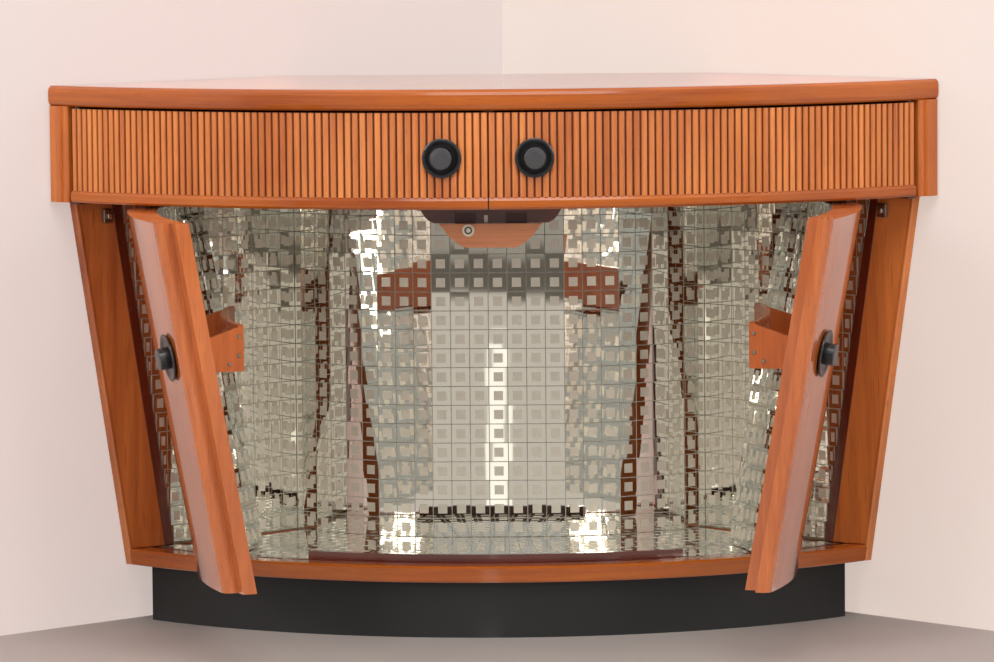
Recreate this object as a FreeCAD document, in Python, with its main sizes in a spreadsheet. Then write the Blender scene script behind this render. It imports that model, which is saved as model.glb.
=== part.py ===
import FreeCAD, Part
import Sketcher
import math
import os
import re

# Corner bar cabinet with a bowed front.
# Every plan curve is drawn about the vertical line where the two room walls meet.
# That line stands corner_back behind the origin, which is on the floor under the plinth rib.
# Angles called *_angle are measured in plan from straight ahead, in degrees. Lengths are millimetres.

SIZES = {
    "corner_back": 640,
    "corner_angle": 45,
    "total_height": 928,
    "front_radius": 1060,
    "back_depth": 371,
    "board": 18,
    "fit_gap": 0.5,
    "plinth_height": 96,
    "plinth_setback": 23.5,
    "plinth_board": 20,
    "plinth_inset": 40,
    "plinth_back": 491,
    "floor_board": 20,
    "rail_height": 28,
    "rail_depth": 32,
    "rail_round": 4,
    "strip_width": 14,
    "strip_drop": 1.5,
    "lip_width": 13,
    "lip_rise": 14,
    "foot_inset": 113.5,
    "head_inset": 37,
    "upper_height": 197,
    "divider_board": 18,
    "mirror_glass": 4,
    "tile_pitch": 33.1,
    "tile_joint": 0.6,
    "flat_tiles": 7,
    "side_tiles": 9,
    "tile_turn": 1.3,
    "full_turn_tile": 5,
    "drum_face": 520,
    "drum_board": 12,
    "jamb_reach": 50,
    "jamb_width": 52,
    "jamb_step": 8,
    "edge_start": 52,
    "bead_start": 45,
    "catch_drop": 47,
    "catch_height": 20,
    "catch_depth": 11,
    "edge_width": 14,
    "bead_width": 8,
    "door_gap": 1.5,
    "head_gap": 4,
    "door_thick": 48,
    "lap_angle": 0.8,
    "lap_gap_angle": 0.06,
    "stile_angle": 2.6,
    "pivot_inset": 19.5,
    "pivot_angle": 31.3,
    "end_angle": 41.6,
    "swing_foot": 147,
    "swing_head": 176,
    "swing_gap": 2,
    "open_left": 66.8,
    "open_right": 70.5,
    "edge_round": 13,
    "pin_radius": 5,
    "pin_fit": 0.05,
    "plate_thick": 2.5,
    "arm_width": 26,
    "moulding_height": 34,
    "moulding_depth": 21,
    "top_lip": 5,
    "top_board": 20,
    "stile_start": 42.66,
    "reed_count": 62,
    "reed_pitch_angle": 0.6812,
    "reed_width": 11.6,
    "reed_depth": 5,
    "panel_thick": 17,
    "panel_head_gap": 4,
    "upper_rail": 20,
    "upper_pin_inset": 7,
    "upper_pin_depth": 10.5,
    "upper_pin": 3,
    "upper_knob": 65,
    "lower_knob": 78,
    "knob_height": 22,
    "knob_rim": 6,
    "upper_knob_reeds": 6,
    "button_size": 36,
    "lower_knob_angle": 4.3,
    "upper_knob_drop": 112,
    "lower_knob_drop": 225,
    "bracket_inset": 98,
    "bracket_thick": 20,
    "bracket_drop": 30,
    "bracket_width": 236,
    "bracket_foot": 198,
    "leaf_width": 172,
    "leaf_foot": 84,
    "leaf_drop": 40,
    "leaf_thick": 13,
    "hinge_radius": 3,
    "hinge_pin": 1.5,
    "hinge_half": 24,
    "flap": 1.5,
    "ring_size": 21,
    "holder_drop": 251,
    "holder_back": 49,
    "holder_height": 75,
    "holder_reach": 67,
    "holder_start": 3.6,
    "holder_length": 427,
    "holder_board": 8,
    "screw_size": 7,
    "boss_radius": 8.5,
    "boss_height": 17,
    "sides": 28,
}

# Places that follow from the sizes.
TIED = {
    "ceiling_z": "(total_height - upper_height)",
    "head_radius": "(front_radius - head_inset)",
    "foot_radius": "(front_radius - head_inset - foot_inset)",
    "plinth_radius": "(front_radius - head_inset - foot_inset - plinth_setback)",
    "pivot_radius": "(front_radius - head_inset - foot_inset - pivot_inset)",
    "bracket_front": "(front_radius - head_inset - bracket_inset)",
    "catch_z": "(total_height - upper_height - catch_drop)",
    "lower_knob_z": "(total_height - upper_height - lower_knob_drop)",
    "holder_z": "(total_height - upper_height - holder_drop)",
    "upper_knob_z": "(total_height - upper_knob_drop)",
}

doc = FreeCAD.newDocument("corner_bar_cabinet")
sheet = doc.addObject("Spreadsheet::Sheet", "sizes")
for row, (alias, number) in enumerate(SIZES.items(), start=1):
    sheet.set("A%d" % row, alias)
    sheet.set("B%d" % row, str(number))
    sheet.setAlias("B%d" % row, alias)
gauge = doc.addObject("App::FeaturePython", "gauge")
gauge.addProperty("App::PropertyFloat", "reading")
doc.recompute()

nodes = []


def size(alias):
    return float(sheet.get(alias))


def bound(text):
    """Turn a formula of size names into an expression on the sheet."""
    text = re.sub(r"[a-z]\w+", lambda m: TIED.get(m.group(0), m.group(0)), text)
    return re.sub(r"[a-z]\w+", lambda m: "sizes." + m.group(0) if m.group(0) in SIZES else m.group(0), text)


def number(text):
    """The value now of a formula of size names."""
    gauge.setExpression("reading", bound(text))
    gauge.recompute()
    return gauge.reading


def bind(thing, **formulas):
    for name, text in formulas.items():
        thing.setExpression(name, bound(str(text)))


def keep(thing, label, place=None):
    thing.Label = label
    if place is not None:
        thing.Placement = place
    nodes.append(thing)
    return thing


V = FreeCAD.Vector
UP = V(0, 0, 1)


def turn(degrees, axis=UP):
    return FreeCAD.Placement(V(), FreeCAD.Rotation(axis, degrees))


def shift(x=0, y=0, z=0):
    return FreeCAD.Placement(V(x, y, z), FreeCAD.Rotation())


HOME = shift(0, size("corner_back"), 0)


# Radius of the leaning lower front at a height.
def lean(z):
    return ("(foot_radius + (%s - plinth_height) * (head_radius - foot_radius)"
            " / (ceiling_z - plinth_height))" % z)


def drum(name, r_foot, r_head, z0, z1, a0=None, a1=None):
    """Solid of revolution between two heights, over a sector when angles are given."""
    same = r_foot == r_head
    solid = doc.addObject("Part::Cylinder" if same else "Part::Cone", name)
    if same:
        bind(solid, Radius=r_foot)
    else:
        bind(solid, Radius1=r_foot, Radius2=r_head)
    bind(solid, Height="%s - (%s)" % (z1, z0))
    solid.Placement = shift()
    if a0 is not None:
        bind(solid, Angle="%s - (%s)" % (a1, a0))
        solid.Placement = turn(number("%s - 90" % a0))
    solid.setExpression("Placement.Base.z", bound(z0))
    return solid


def box(name, x0, x1, y0, y1, z0, z1, degrees=0):
    """Board between formulas, turned about the corner line."""
    solid = doc.addObject("Part::Box", name)
    bind(solid, Length="%s - (%s)" % (x1, x0), Width="%s - (%s)" % (y1, y0), Height="%s - (%s)" % (z1, z0))
    solid.Placement = turn(degrees) * shift(number(x0), number(y0), number(z0))
    return solid


def boolean(kind, name, base, tool):
    made = doc.addObject("Part::" + kind, name)
    made.Base = base
    made.Tool = tool
    return made


def cut(name, base, tool):
    return boolean("Cut", name, base, tool)


def common(name, base, tool):
    return boolean("Common", name, base, tool)


def fuse(name, base, tool):
    return boolean("Fuse", name, base, tool)


def group(name, things):
    made = doc.addObject("Part::Compound", name)
    made.Links = things
    return made


def other_side(source, name):
    made = doc.addObject("Part::Mirroring", name)
    made.Source = source
    made.Normal = V(1, 0, 0)
    return made


def pair(left, label):
    """Keep a left piece and its mirror image as two nodes."""
    keep(left, label + "_left")
    return keep(other_side(left, label + "_mirror"), label + "_right")


def plane_of(body, role):
    return next(f for f in body.Origin.OriginFeatures if f.Role == role)


def outline(body, name, role, corners, lift=None, aside=None):
    """Closed outline whose corners are pairs of formulas, each held by two named distances."""
    sketch = body.newObject("Sketcher::SketchObject", name)
    sketch.AttachmentSupport = [(plane_of(body, role), "")]
    sketch.MapMode = "FlatFace"
    if lift is not None:
        sketch.setExpression("AttachmentOffset.Base.z", bound(lift))
    if aside is not None:
        sketch.setExpression("AttachmentOffset.Base.y", bound(aside))
    points = [V(number(a), number(b), 0) for a, b in corners]
    count = len(points)
    for i in range(count):
        sketch.addGeometry(Part.LineSegment(points[i], points[(i + 1) % count]), False)
    for i in range(count):
        sketch.addConstraint(Sketcher.Constraint("Coincident", i, 2, (i + 1) % count, 1))
    for i, (a, b) in enumerate(corners):
        for kind, text, value, axis in (("DistanceX", a, points[i].x, -2), ("DistanceY", b, points[i].y, -1)):
            if text == "0":
                sketch.addConstraint(Sketcher.Constraint("PointOnObject", i, 1, axis))
                continue
            index = sketch.addConstraint(Sketcher.Constraint(kind, -1, 1, i, 1, value))
            sketch.renameConstraint(index, "%s%d" % (kind[-1].lower(), i))
            sketch.setExpression("Constraints[%d]" % index, bound(text))
    return sketch


def lathe(name, corners, angle="360", role="XZ_Plane"):
    """Body revolved about its own vertical axis, evenly both ways from +X."""
    body = doc.addObject("PartDesign::Body", name)
    sketch = outline(body, name + "_profile", role, corners)
    spin = body.newObject("PartDesign::Revolution", name + "_spin")
    spin.Profile = sketch
    spin.ReferenceAxis = (sketch, ["V_Axis"])
    spin.Midplane = True
    bind(spin, Angle=angle)
    body.Tip = spin
    return body


def turned(name, rings, sides="sides"):
    """Small turning with flats: rings of radius and height, from the foot up."""
    sections = []
    for radius, height in rings:
        ring = doc.addObject("Part::RegularPolygon", name + "_ring")
        bind(ring, Polygon=sides, Circumradius=radius)
        ring.setExpression("Placement.Base.z", bound(height))
        sections.append(ring)
    made = doc.addObject("Part::Loft", name)
    made.Sections = sections
    made.Solid = True
    made.Ruled = True
    made.Linearize = True
    return made


def slab(name, corners, depth, role="XY_Plane", lift=None):
    """Body padded from an outline."""
    body = doc.addObject("PartDesign::Body", name)
    sketch = outline(body, name + "_outline", role, corners, lift)
    pad = body.newObject("PartDesign::Pad", name + "_pad")
    pad.Profile = sketch
    bind(pad, Length=depth)
    body.Tip = pad
    return body



FRONT = turn(-90)
LEFT_WALL = turn(-90 - size("corner_angle"))
RIGHT_WALL = turn(-90 + size("corner_angle"))
FLOOR_SEAT = "(plinth_height + floor_board)"
SILL = "(plinth_height + rail_height)"
FLOOR_TOP = "(plinth_height + rail_height - mirror_glass - fit_gap)"
DIVIDER_TOP = "(ceiling_z + divider_board)"
TOP_UNDER = "(total_height - top_board)"
LEAN_SLOPE = number("(head_radius - foot_radius) / (ceiling_z - plinth_height)")


def wall_spaces(name, inset, z0, z1):
    """The room walls' side of two upright planes, as cutting tools."""
    left = box(name + "_l", "0", "1400", "-60", inset, z0, z1, -90 - size("corner_angle"))
    right = box(name + "_r", "0", "1400", "-(%s)" % inset, "60", z0, z1, -90 + size("corner_angle"))
    return [left, right]


def plate(name, radius, z0, z1, inset, back):
    """Sector board with a bowed front, trimmed to the walls and to a straight back."""
    sector = drum(name + "_sector", radius, radius, z0, z1, "-corner_angle", "corner_angle")
    tools = wall_spaces(name + "_wall", inset, z0 + " - 1", z1 + " + 1")
    tools.append(box(name + "_behind", "-900", "900", "-(%s)" % back, "300", z0 + " - 1", z1 + " + 1"))
    return cut(name, sector, group(name + "_trim", tools))


def band(name, r_in_foot, r_in_head, r_foot, r_head, z0, z1, a0, a1):
    """Curved board between two coaxial faces."""
    outer = drum(name + "_face", r_foot, r_head, z0, z1, a0, a1)
    inner = drum(name + "_hollow", r_in_foot, r_in_head, z0, z1)
    return cut(name, outer, inner)


def leaning(name, corners, z0, z1):
    """Post in the left wall's plan frame, sheared to follow the leaning front."""
    body = doc.addObject("PartDesign::Body", name)
    sketch = outline(body, name + "_outline", "XY_Plane", corners, z0)
    pad = body.newObject("PartDesign::Pad", name + "_pad")
    pad.Profile = sketch
    pad.UseCustomVector = True
    pad.Direction = V(LEAN_SLOPE, 0, 1)
    pad.AlongSketchNormal = True
    bind(pad, Length="%s - (%s)" % (z1, z0))
    body.Tip = pad
    return body


# ---------------------------------------------------------------- plinth
ring = band("plinth_bow", "plinth_radius - plinth_board", "plinth_radius - plinth_board",
            "plinth_radius", "plinth_radius", "0", "plinth_height", "-corner_angle", "corner_angle")
ring = cut("plinth_bow_cut", ring, group("plinth_trim", wall_spaces("plinth_wall", "plinth_inset", "-1",
                                                                   "plinth_height + 1")))
keep(ring, "plinth_front", HOME)

side = box("plinth_side_board", "plinth_back * 1.4142 - plinth_inset - 2 * plinth_board",
           "plinth_radius - plinth_board - 3", "plinth_inset", "plinth_inset + plinth_board",
           "0", "plinth_height", -90 - size("corner_angle"))
back = box("plinth_back_board", "-(plinth_back - 1.4142 * (plinth_inset + plinth_board) - 0.3)",
           "plinth_back - 1.4142 * (plinth_inset + plinth_board) - 0.3",
           "-(plinth_back + plinth_board)", "-plinth_back", "0", "plinth_height")
keep(group("plinth_board_group", [side, other_side(side, "plinth_side_board_r"), back]), "plinth_boards", HOME)

rib = box("plinth_rib_board", "-plinth_board / 2", "plinth_board / 2",
          "-(plinth_radius - plinth_board - 0.3)", "-(plinth_back + plinth_board + 0.3)", "0", "plinth_height")
keep(group("plinth_rib_group", [rib]), "plinth_rib", HOME)

# ---------------------------------------------------------------- lower carcass
LIP_OUT = "(foot_radius - rail_depth - strip_width - 0.3)"
LIP_IN = "(foot_radius - rail_depth - strip_width - lip_width)"
lower = plate("floor_plate", "foot_radius - rail_depth", "plinth_height", FLOOR_SEAT, "board", "back_depth")
raised = plate("floor_raised", LIP_IN + " - 0.3", FLOOR_SEAT, FLOOR_TOP, "board", "back_depth")
keep(fuse("floor_step", lower, raised), "carcass_floor", HOME)

rail = lathe("rail_bow", [
    ("foot_radius - rail_depth + 0.3", "plinth_height"),
    ("foot_radius - 2", "plinth_height"),
    ("foot_radius", "plinth_height + 2"),
    (lean("(%s - rail_round * 0.8)" % SILL), SILL + " - rail_round * 0.8"),
    (lean(SILL) + " - rail_round", SILL),
    ("foot_radius - rail_depth + 0.3", SILL)], "2 * corner_angle - 2 * 0.95")
rail.Placement = FRONT
socket_spot = "pivot_radius * sin(pivot_angle * 1deg)"
socket_back = "pivot_radius * cos(pivot_angle * 1deg)"
PIVOT = V(-number(socket_spot), -number(socket_back), 0)
PIVOT_R = V(number(socket_spot), -number(socket_back), 0)


def post(name, radius, z0, z1, centre):
    """Upright cylinder about a point of the plan."""
    rod = doc.addObject("Part::Cylinder", name)
    bind(rod, Radius=radius, Height="%s - (%s)" % (z1, z0))
    rod.Placement = shift(centre.x, centre.y, 0)
    rod.setExpression("Placement.Base.z", bound(z0))
    return rod


BUSH = "(pin_radius + 3)"
PIN_DEPTH = "14"
holes = [post("rail_socket_" + s, BUSH, SILL + " - " + PIN_DEPTH, SILL + " + 1", p)
         for s, p in (("l", PIVOT), ("r", PIVOT_R))]
keep(cut("rail_drilled", rail, group("rail_sockets", holes)), "bottom_rail", HOME)

STRIP_OUT = "(foot_radius - rail_depth)"
STRIP_IN = "(foot_radius - rail_depth - strip_width)"
strip = band("sill_band", STRIP_IN, STRIP_IN, STRIP_OUT, STRIP_OUT, FLOOR_SEAT, SILL + " - strip_drop",
             "-corner_angle", "corner_angle")
strip = cut("sill_band_cut", strip, group("sill_trim", wall_spaces("sill_wall", "board + 0.3", "0", "300")))
keep(strip, "sill_strip", HOME)

# the red lip stops the doors, and is low where their pivoted ends swing in over it
lip = band("lip_band", LIP_IN, LIP_IN, LIP_OUT, LIP_OUT, FLOOR_SEAT, SILL + " - 0.5",
           "-corner_angle", "corner_angle")
lip = cut("lip_band_cut", lip, group("lip_trim", wall_spaces("lip_wall", "board + 0.3", "0", "300")))
stop = band("lip_stop", LIP_IN, LIP_IN, LIP_OUT, LIP_OUT, SILL + " - 0.5", SILL + " + lip_rise",
            "-pivot_angle", "pivot_angle")
ends = [post("lip_end_" + s, "swing_foot + 2 * swing_gap", SILL + " - 0.5", SILL + " + lip_rise + 1", p)
        for s, p in (("l", PIVOT), ("r", PIVOT_R))]
stop = cut("lip_stop_cut", stop, group("lip_ends", ends))
keep(fuse("lip", lip, stop), "floor_lip", HOME)

# ---------------------------------------------------------------- mirrored back
PITCH = size("tile_pitch")
GLASS = size("mirror_glass")
FACE_INSET = "(board + 0.3 + mirror_glass + 0.5)"


def facet_line():
    """Corner points of the mirrored face, from the middle to its right end, and each strip's turn."""
    points = [(0.0, -size("drum_face")), (PITCH * size("flat_tiles") / 2, -size("drum_face"))]
    angle = 0.0
    limit = number(FACE_INSET) * math.sqrt(2)
    for step in range(1, int(size("side_tiles")) + 1):
        angle += math.radians(size("tile_turn") * min(step, size("full_turn_tile")))
        x, y = points[-1]
        run = min(PITCH, (-y - x - limit) / (math.cos(angle) + math.sin(angle)))
        if run < 6:
            break
        points.append((x + run * math.cos(angle), y + run * math.sin(angle)))
    return points


def set_back(points, depth):
    """The same line moved away from the room, square to each piece of it."""
    moved = []
    for i, (x, y) in enumerate(points):
        turns = []
        for a, b in ((i - 1, i), (i, i + 1)):
            if 0 <= a and b < len(points):
                turns.append(math.atan2(points[b][1] - points[a][1], points[b][0] - points[a][0]))
        lay = sum(turns) / len(turns)
        reach = depth / math.cos((turns[-1] - turns[0]) / 2)
        moved.append((x - reach * math.sin(lay), y + reach * math.cos(lay)))
    return moved


half = facet_line()[1:]
face_line = [(-x, y) for x, y in reversed(half)] + half
strips = []
for i in range(len(face_line) - 1):
    (xa, ya), (xb, yb) = face_line[i], face_line[i + 1]
    lay = math.degrees(math.atan2(yb - ya, xb - xa))
    count = int(size("flat_tiles")) if i == len(half) - 1 else 1
    width = math.hypot(xb - xa, yb - ya) / count
    for j in range(count):
        glass = doc.addObject("Part::Box", "mirror_strip")
        bind(glass, Length="%.4f - tile_joint" % width, Width="mirror_glass",
             Height="ceiling_z - 0.3 - " + FLOOR_TOP)
        spot = FreeCAD.Placement(V(xa, ya, number(FLOOR_TOP)), FreeCAD.Rotation(UP, lay))
        glass.Placement = spot * shift(j * width + size("tile_joint") / 2, 0, 0)
        strips.append(glass)
keep(group("mirror_strips", strips), "back_mirrors", HOME)

core_front = set_back(face_line, GLASS + 0.3)
core_back = set_back(face_line, GLASS + 0.3 + size("drum_board"))
core = slab("core_board", [("%.4f" % (x + 1000), "%.4f" % (1000 + y)) for x, y in core_front + core_back[::-1]],
            "ceiling_z - 0.3 - " + FLOOR_TOP, lift=FLOOR_TOP)
core.Placement = shift(-1000, -1000, 0)
core = cut("core_trimmed", core, group("core_trim", wall_spaces("core_wall", FACE_INSET, "0", "900")))
keep(core, "back_drum", HOME)

behind = slab("behind_face", [("%.4f" % (x + 1000), "%.4f" % (1000 + y)) for x, y in
                              set_back(face_line, -0.3) + [(face_line[-1][0] + 40, -200), (face_line[0][0] - 40, -200)]],
              "60", lift="plinth_height")
behind.Placement = shift(-1000, -1000, 0)
floor_glass = plate("floor_glass_plate", LIP_IN + " - 0.3", FLOOR_TOP, FLOOR_TOP + " + mirror_glass", FACE_INSET,
                    "back_depth + 20")
keep(cut("floor_glass", floor_glass, behind), "floor_mirror", HOME)


def wall_board(name, start, inside, p0, p1, z0, z1):
    """Upright board along the left wall whose front edge follows the lean."""
    board = box(name + "_blank", start, "1300", p0, p1, z0, z1, -90 - size("corner_angle"))
    limit = drum(name + "_limit", lean(z0) + " - (%s)" % inside, lean(z1) + " - (%s)" % inside, z0, z1)
    return common(name, board, limit)


panel = wall_board("side_board", "back_depth * 1.4142", "edge_start", "0", "board", "plinth_height", "ceiling_z")
panel.Placement = HOME
pair(panel, "side_panel")

mirror = wall_board("side_glass", "back_depth * 1.4142 + 24", "edge_start + bead_start + 16", "board + 0.3",
                    "board + 0.3 + mirror_glass", FLOOR_TOP, "ceiling_z - 0.3")
mirror.Placement = HOME
pair(mirror, "side_mirror")

back = box("back_board", "-back_depth", "back_depth", "-(back_depth + board)", "-back_depth", FLOOR_TOP, "ceiling_z")
back = cut("back_board_cut", back, group("back_trim", wall_spaces("back_wall", "board + 0.3", "0", "900")))
keep(back, "back_panel", HOME)

# ---------------------------------------------------------------- jambs
edge = leaning("edge_post", [
    (lean("plinth_height") + " - edge_start", "0"),
    (lean("plinth_height"), "0"),
    (lean("plinth_height"), "edge_width - 3"),
    (lean("plinth_height") + " - 3", "edge_width"),
    (lean("plinth_height") + " - edge_start", "edge_width")], "plinth_height", "ceiling_z")
edge.Placement = HOME * LEFT_WALL
pair(edge, "edge_strip")

JAMB_Z = SILL
swing_room = drum("swing_room", "swing_foot + swing_gap", "swing_head + swing_gap", SILL, "ceiling_z")
swing_room.Placement = shift(PIVOT.x, PIVOT.y, number(SILL))
post_blank = leaning("jamb_post", [
    (lean(JAMB_Z) + " - jamb_step", "edge_width + 0.6"),
    (lean(JAMB_Z) + " - jamb_reach", "jamb_width"),
    (lean(JAMB_Z) + " - edge_start - bead_start + 2", "jamb_width"),
    (lean(JAMB_Z) + " - edge_start - bead_start + 2", "board + 0.3"),
    (lean(JAMB_Z) + " - edge_start + 0.6", "board + 0.3"),
    (lean(JAMB_Z) + " - edge_start + 0.6", "edge_width + 0.6")], JAMB_Z, "ceiling_z")
post_blank.Placement = LEFT_WALL
jamb = cut("jamb_hollowed", post_blank, swing_room)
jamb.Placement = HOME
pair(jamb, "jamb")

bead = leaning("bead_post", [
    (lean(JAMB_Z) + " - edge_start - bead_start - 16 + 1", "board + 0.3"),
    (lean(JAMB_Z) + " - edge_start - bead_start + 1", "board + 0.3"),
    (lean(JAMB_Z) + " - edge_start - bead_start + 1", "board + 0.3 + bead_width"),
    (lean(JAMB_Z) + " - edge_start - bead_start - 12", "board + 0.3 + bead_width"),
    (lean(JAMB_Z) + " - edge_start - bead_start - 15", "board + 0.3 + mirror_glass")],
    JAMB_Z, "ceiling_z")
bead.Placement = LEFT_WALL
keep(group("beads", [bead, other_side(bead, "bead_r")]), "jamb_beads", HOME)

# nickel catch boxes high on the jambs' splayed faces
A_S, A_P = lean("catch_z") + " - jamb_step", "(edge_width + 0.6)"
B_S, B_P = lean("catch_z") + " - jamb_reach", "jamb_width"
splay = math.hypot(number(B_S + " - (%s)" % A_S), number(B_P + " - " + A_P))
lift_s = number(B_P + " - " + A_P) / splay
lift_p = -number(B_S + " - (%s)" % A_S) / splay


def on_splay(share, off):
    s = "%s + (%s - (%s)) * %s + %.6f * %s" % (A_S, B_S, A_S, share, lift_s, off)
    p = "%s + (%s - (%s)) * %s + %.6f * %s" % (A_P, B_P, A_P, share, lift_p, off)
    return s, p


catch = leaning("catch_box", [on_splay("0.34", "0"), on_splay("0.34", "catch_depth"),
                              on_splay("0.62", "catch_depth"), on_splay("0.62", "0")],
                "catch_z", "catch_z + catch_height")
catch.Placement = LEFT_WALL
keep(group("catches", [catch, other_side(catch, "catch_r")]), "jamb_catches", HOME)

# ---------------------------------------------------------------- upper carcass
UPPER_BACK_FACE = "(front_radius - reed_depth - panel_thick)"
divider = plate("divider_plate", UPPER_BACK_FACE + " - 3", "ceiling_z", DIVIDER_TOP, "board",
                "back_depth")
holes = [post("divider_socket_" + s, BUSH, "ceiling_z - 1", "ceiling_z + " + PIN_DEPTH, p)
         for s, p in (("l", PIVOT), ("r", PIVOT_R))]
keep(cut("divider_drilled", divider, group("divider_sockets", holes)), "divider_board", HOME)

bushes = []
for s, p in (("l", PIVOT), ("r", PIVOT_R)):
    for spot, z0, z1 in (("low", SILL + " - " + PIN_DEPTH, SILL), ("high", "ceiling_z", "ceiling_z + " + PIN_DEPTH)):
        tube = post("bush_%s_%s" % (spot, s), BUSH, z0, z1, p)
        bore = post("bush_bore_%s_%s" % (spot, s), "pin_radius + pin_fit", z0 + " - 1", z1 + " + 1", p)
        bushes.append(cut("bush_ring_%s_%s" % (spot, s), tube, bore))

upper = box("upper_side_board", "back_depth * 1.4142", "1300", "0", "board", "ceiling_z", TOP_UNDER,
            -90 - size("corner_angle"))
limit = drum("upper_side_limit", UPPER_BACK_FACE, UPPER_BACK_FACE, "0", "total_height")
upper = common("upper_side_trim", upper, limit)
keep(group("upper_side_pair", [upper, other_side(upper, "upper_side_r")]), "upper_sides", HOME)

back = box("upper_back_board", "-back_depth", "back_depth", "-(back_depth + board)", "-back_depth",
           DIVIDER_TOP, TOP_UNDER)
back = cut("upper_back_cut", back, group("upper_back_trim", wall_spaces("upper_back_wall", "board + 0.3", "0", "999")))
keep(back, "upper_back", HOME)

partition = box("partition_board", "-board / 2", "board / 2", "-(%s - 8)" % UPPER_BACK_FACE,
                "-(back_depth + board + 0.3)", DIVIDER_TOP, TOP_UNDER)
keep(group("partition", [partition]), "upper_partition", HOME)

MOULD_IN = "(front_radius + top_lip - moulding_depth)"
top = plate("top_plate", MOULD_IN, TOP_UNDER, "total_height", "0", "back_depth")
keep(top, "top_board", HOME)

FRONT_LIP = "(front_radius + top_lip)"
MOULD_FOOT = "(total_height - moulding_height)"
mould = lathe("mould_bow", [
    (MOULD_IN, MOULD_FOOT),
    (FRONT_LIP + " - 6", MOULD_FOOT),
    (FRONT_LIP + " - 2", MOULD_FOOT + " + 3"),
    (FRONT_LIP, MOULD_FOOT + " + 9"),
    (FRONT_LIP, "total_height - 9"),
    (FRONT_LIP + " - 1.5", "total_height - 4"),
    (FRONT_LIP + " - 6", "total_height"),
    (MOULD_IN, "total_height")], "2 * corner_angle")
mould.Placement = FRONT
UPPER_PIN_REACH = "(front_radius - upper_pin_depth)"
UPPER_PIN_ANGLE = "(reed_count * reed_pitch_angle - upper_pin_inset / %s * 180 / pi)" % UPPER_PIN_REACH
UPPER_PIVOT = turn(-90 - number(UPPER_PIN_ANGLE)).multVec(V(number(UPPER_PIN_REACH), 0, 0))
UPPER_PIVOT_R = V(-UPPER_PIVOT.x, UPPER_PIVOT.y, 0)
holes = [post("mould_bore_" + s, "upper_pin + pin_fit", MOULD_FOOT + " - 1", MOULD_FOOT + " + 12", p)
         for s, p in (("l", UPPER_PIVOT), ("r", UPPER_PIVOT_R))]
keep(cut("mould_bored", mould, group("mould_bores", holes)), "top_moulding", HOME)

# steel pivot fittings fixed to the carcass
fittings = list(bushes)
for s, sign, p in (("l", -1, UPPER_PIVOT), ("r", 1, UPPER_PIVOT_R)):
    tongue = box("pivot_tongue_" + s, UPPER_PIN_REACH + " - 40", UPPER_PIN_REACH + " + 9", "-9", "9",
                 "ceiling_z - plate_thick", "ceiling_z", -90 + sign * number(UPPER_PIN_ANGLE))
    pin = post("pivot_tongue_pin_" + s, "upper_pin", "ceiling_z - plate_thick", "ceiling_z + 12", p)
    fittings.append(fuse("pivot_bracket_" + s, tongue, pin))
keep(group("fittings", fittings), "pivot_plates", HOME)

STILE_WIDTH = "(%s * (corner_angle - stile_start) * pi / 180)" % FRONT_LIP
stile = slab("stile_post", [
    ("front_radius - reed_depth - panel_thick", "0"),
    (FRONT_LIP + " - 3", "0"),
    (FRONT_LIP, "3"),
    (FRONT_LIP, STILE_WIDTH + " - 17"),
    (FRONT_LIP + " - 5", STILE_WIDTH + " - 15"),
    (FRONT_LIP + " - 5", STILE_WIDTH + " - 11"),
    (FRONT_LIP + " - 3", STILE_WIDTH + " - 9"),
    (FRONT_LIP + " - 4", STILE_WIDTH + " - 2"),
    (FRONT_LIP + " - 7", STILE_WIDTH),
    ("front_radius - reed_depth - panel_thick", STILE_WIDTH)],
    MOULD_FOOT + " - ceiling_z", lift="ceiling_z")
stile.Placement = HOME * LEFT_WALL
pair(stile, "end_stile")

# ---------------------------------------------------------------- upper doors
DOOR_END = "(reed_count * reed_pitch_angle)"
REED_BACK = "(front_radius - reed_depth)"
UPPER_FOOT = "(ceiling_z + door_gap / 3)"
RAIL_TOP = "(ceiling_z + upper_rail)"
UPPER_HEAD = "(total_height - moulding_height - panel_head_gap)"

panel = band("upper_panel_band", UPPER_BACK_FACE, UPPER_BACK_FACE, REED_BACK, REED_BACK, RAIL_TOP,
             UPPER_HEAD, "-" + DOOR_END, "-lap_gap_angle")
panel.Placement = HOME
pair(panel, "upper_panel")

flute = [("%s + reed_depth * %s" % (REED_BACK, rise), "reed_width * %s" % across) for rise, across in (
    (0, 1), (0.612, 0.876), (0.955, 0.639), (0.955, 0.361), (0.612, 0.124), (0, 0))]
flute[-1] = (REED_BACK, "0")
reeds = doc.addObject("PartDesign::Body", "reeds_left")
pad = reeds.newObject("PartDesign::Pad", "reed_pad")
pad.Profile = outline(reeds, "reed_section", "XY_Plane", flute, RAIL_TOP, "-reed_width / 2")
bind(pad, Length="%s - %s" % (UPPER_HEAD, RAIL_TOP))
reeds.Tip = pad
doc.recompute()
fan = reeds.newObject("PartDesign::PolarPattern", "reed_fan")
fan.Originals = [pad]
fan.Axis = (plane_of(reeds, "Z_Axis"), [""])
bind(fan, Angle="reed_pitch_angle * (reed_count - 1)", Occurrences="reed_count")
reeds.Tip = fan
reeds.Placement = HOME * turn(-90 - number(DOOR_END + " - reed_pitch_angle / 2"))
pair(reeds, "upper_reeds")

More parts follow.
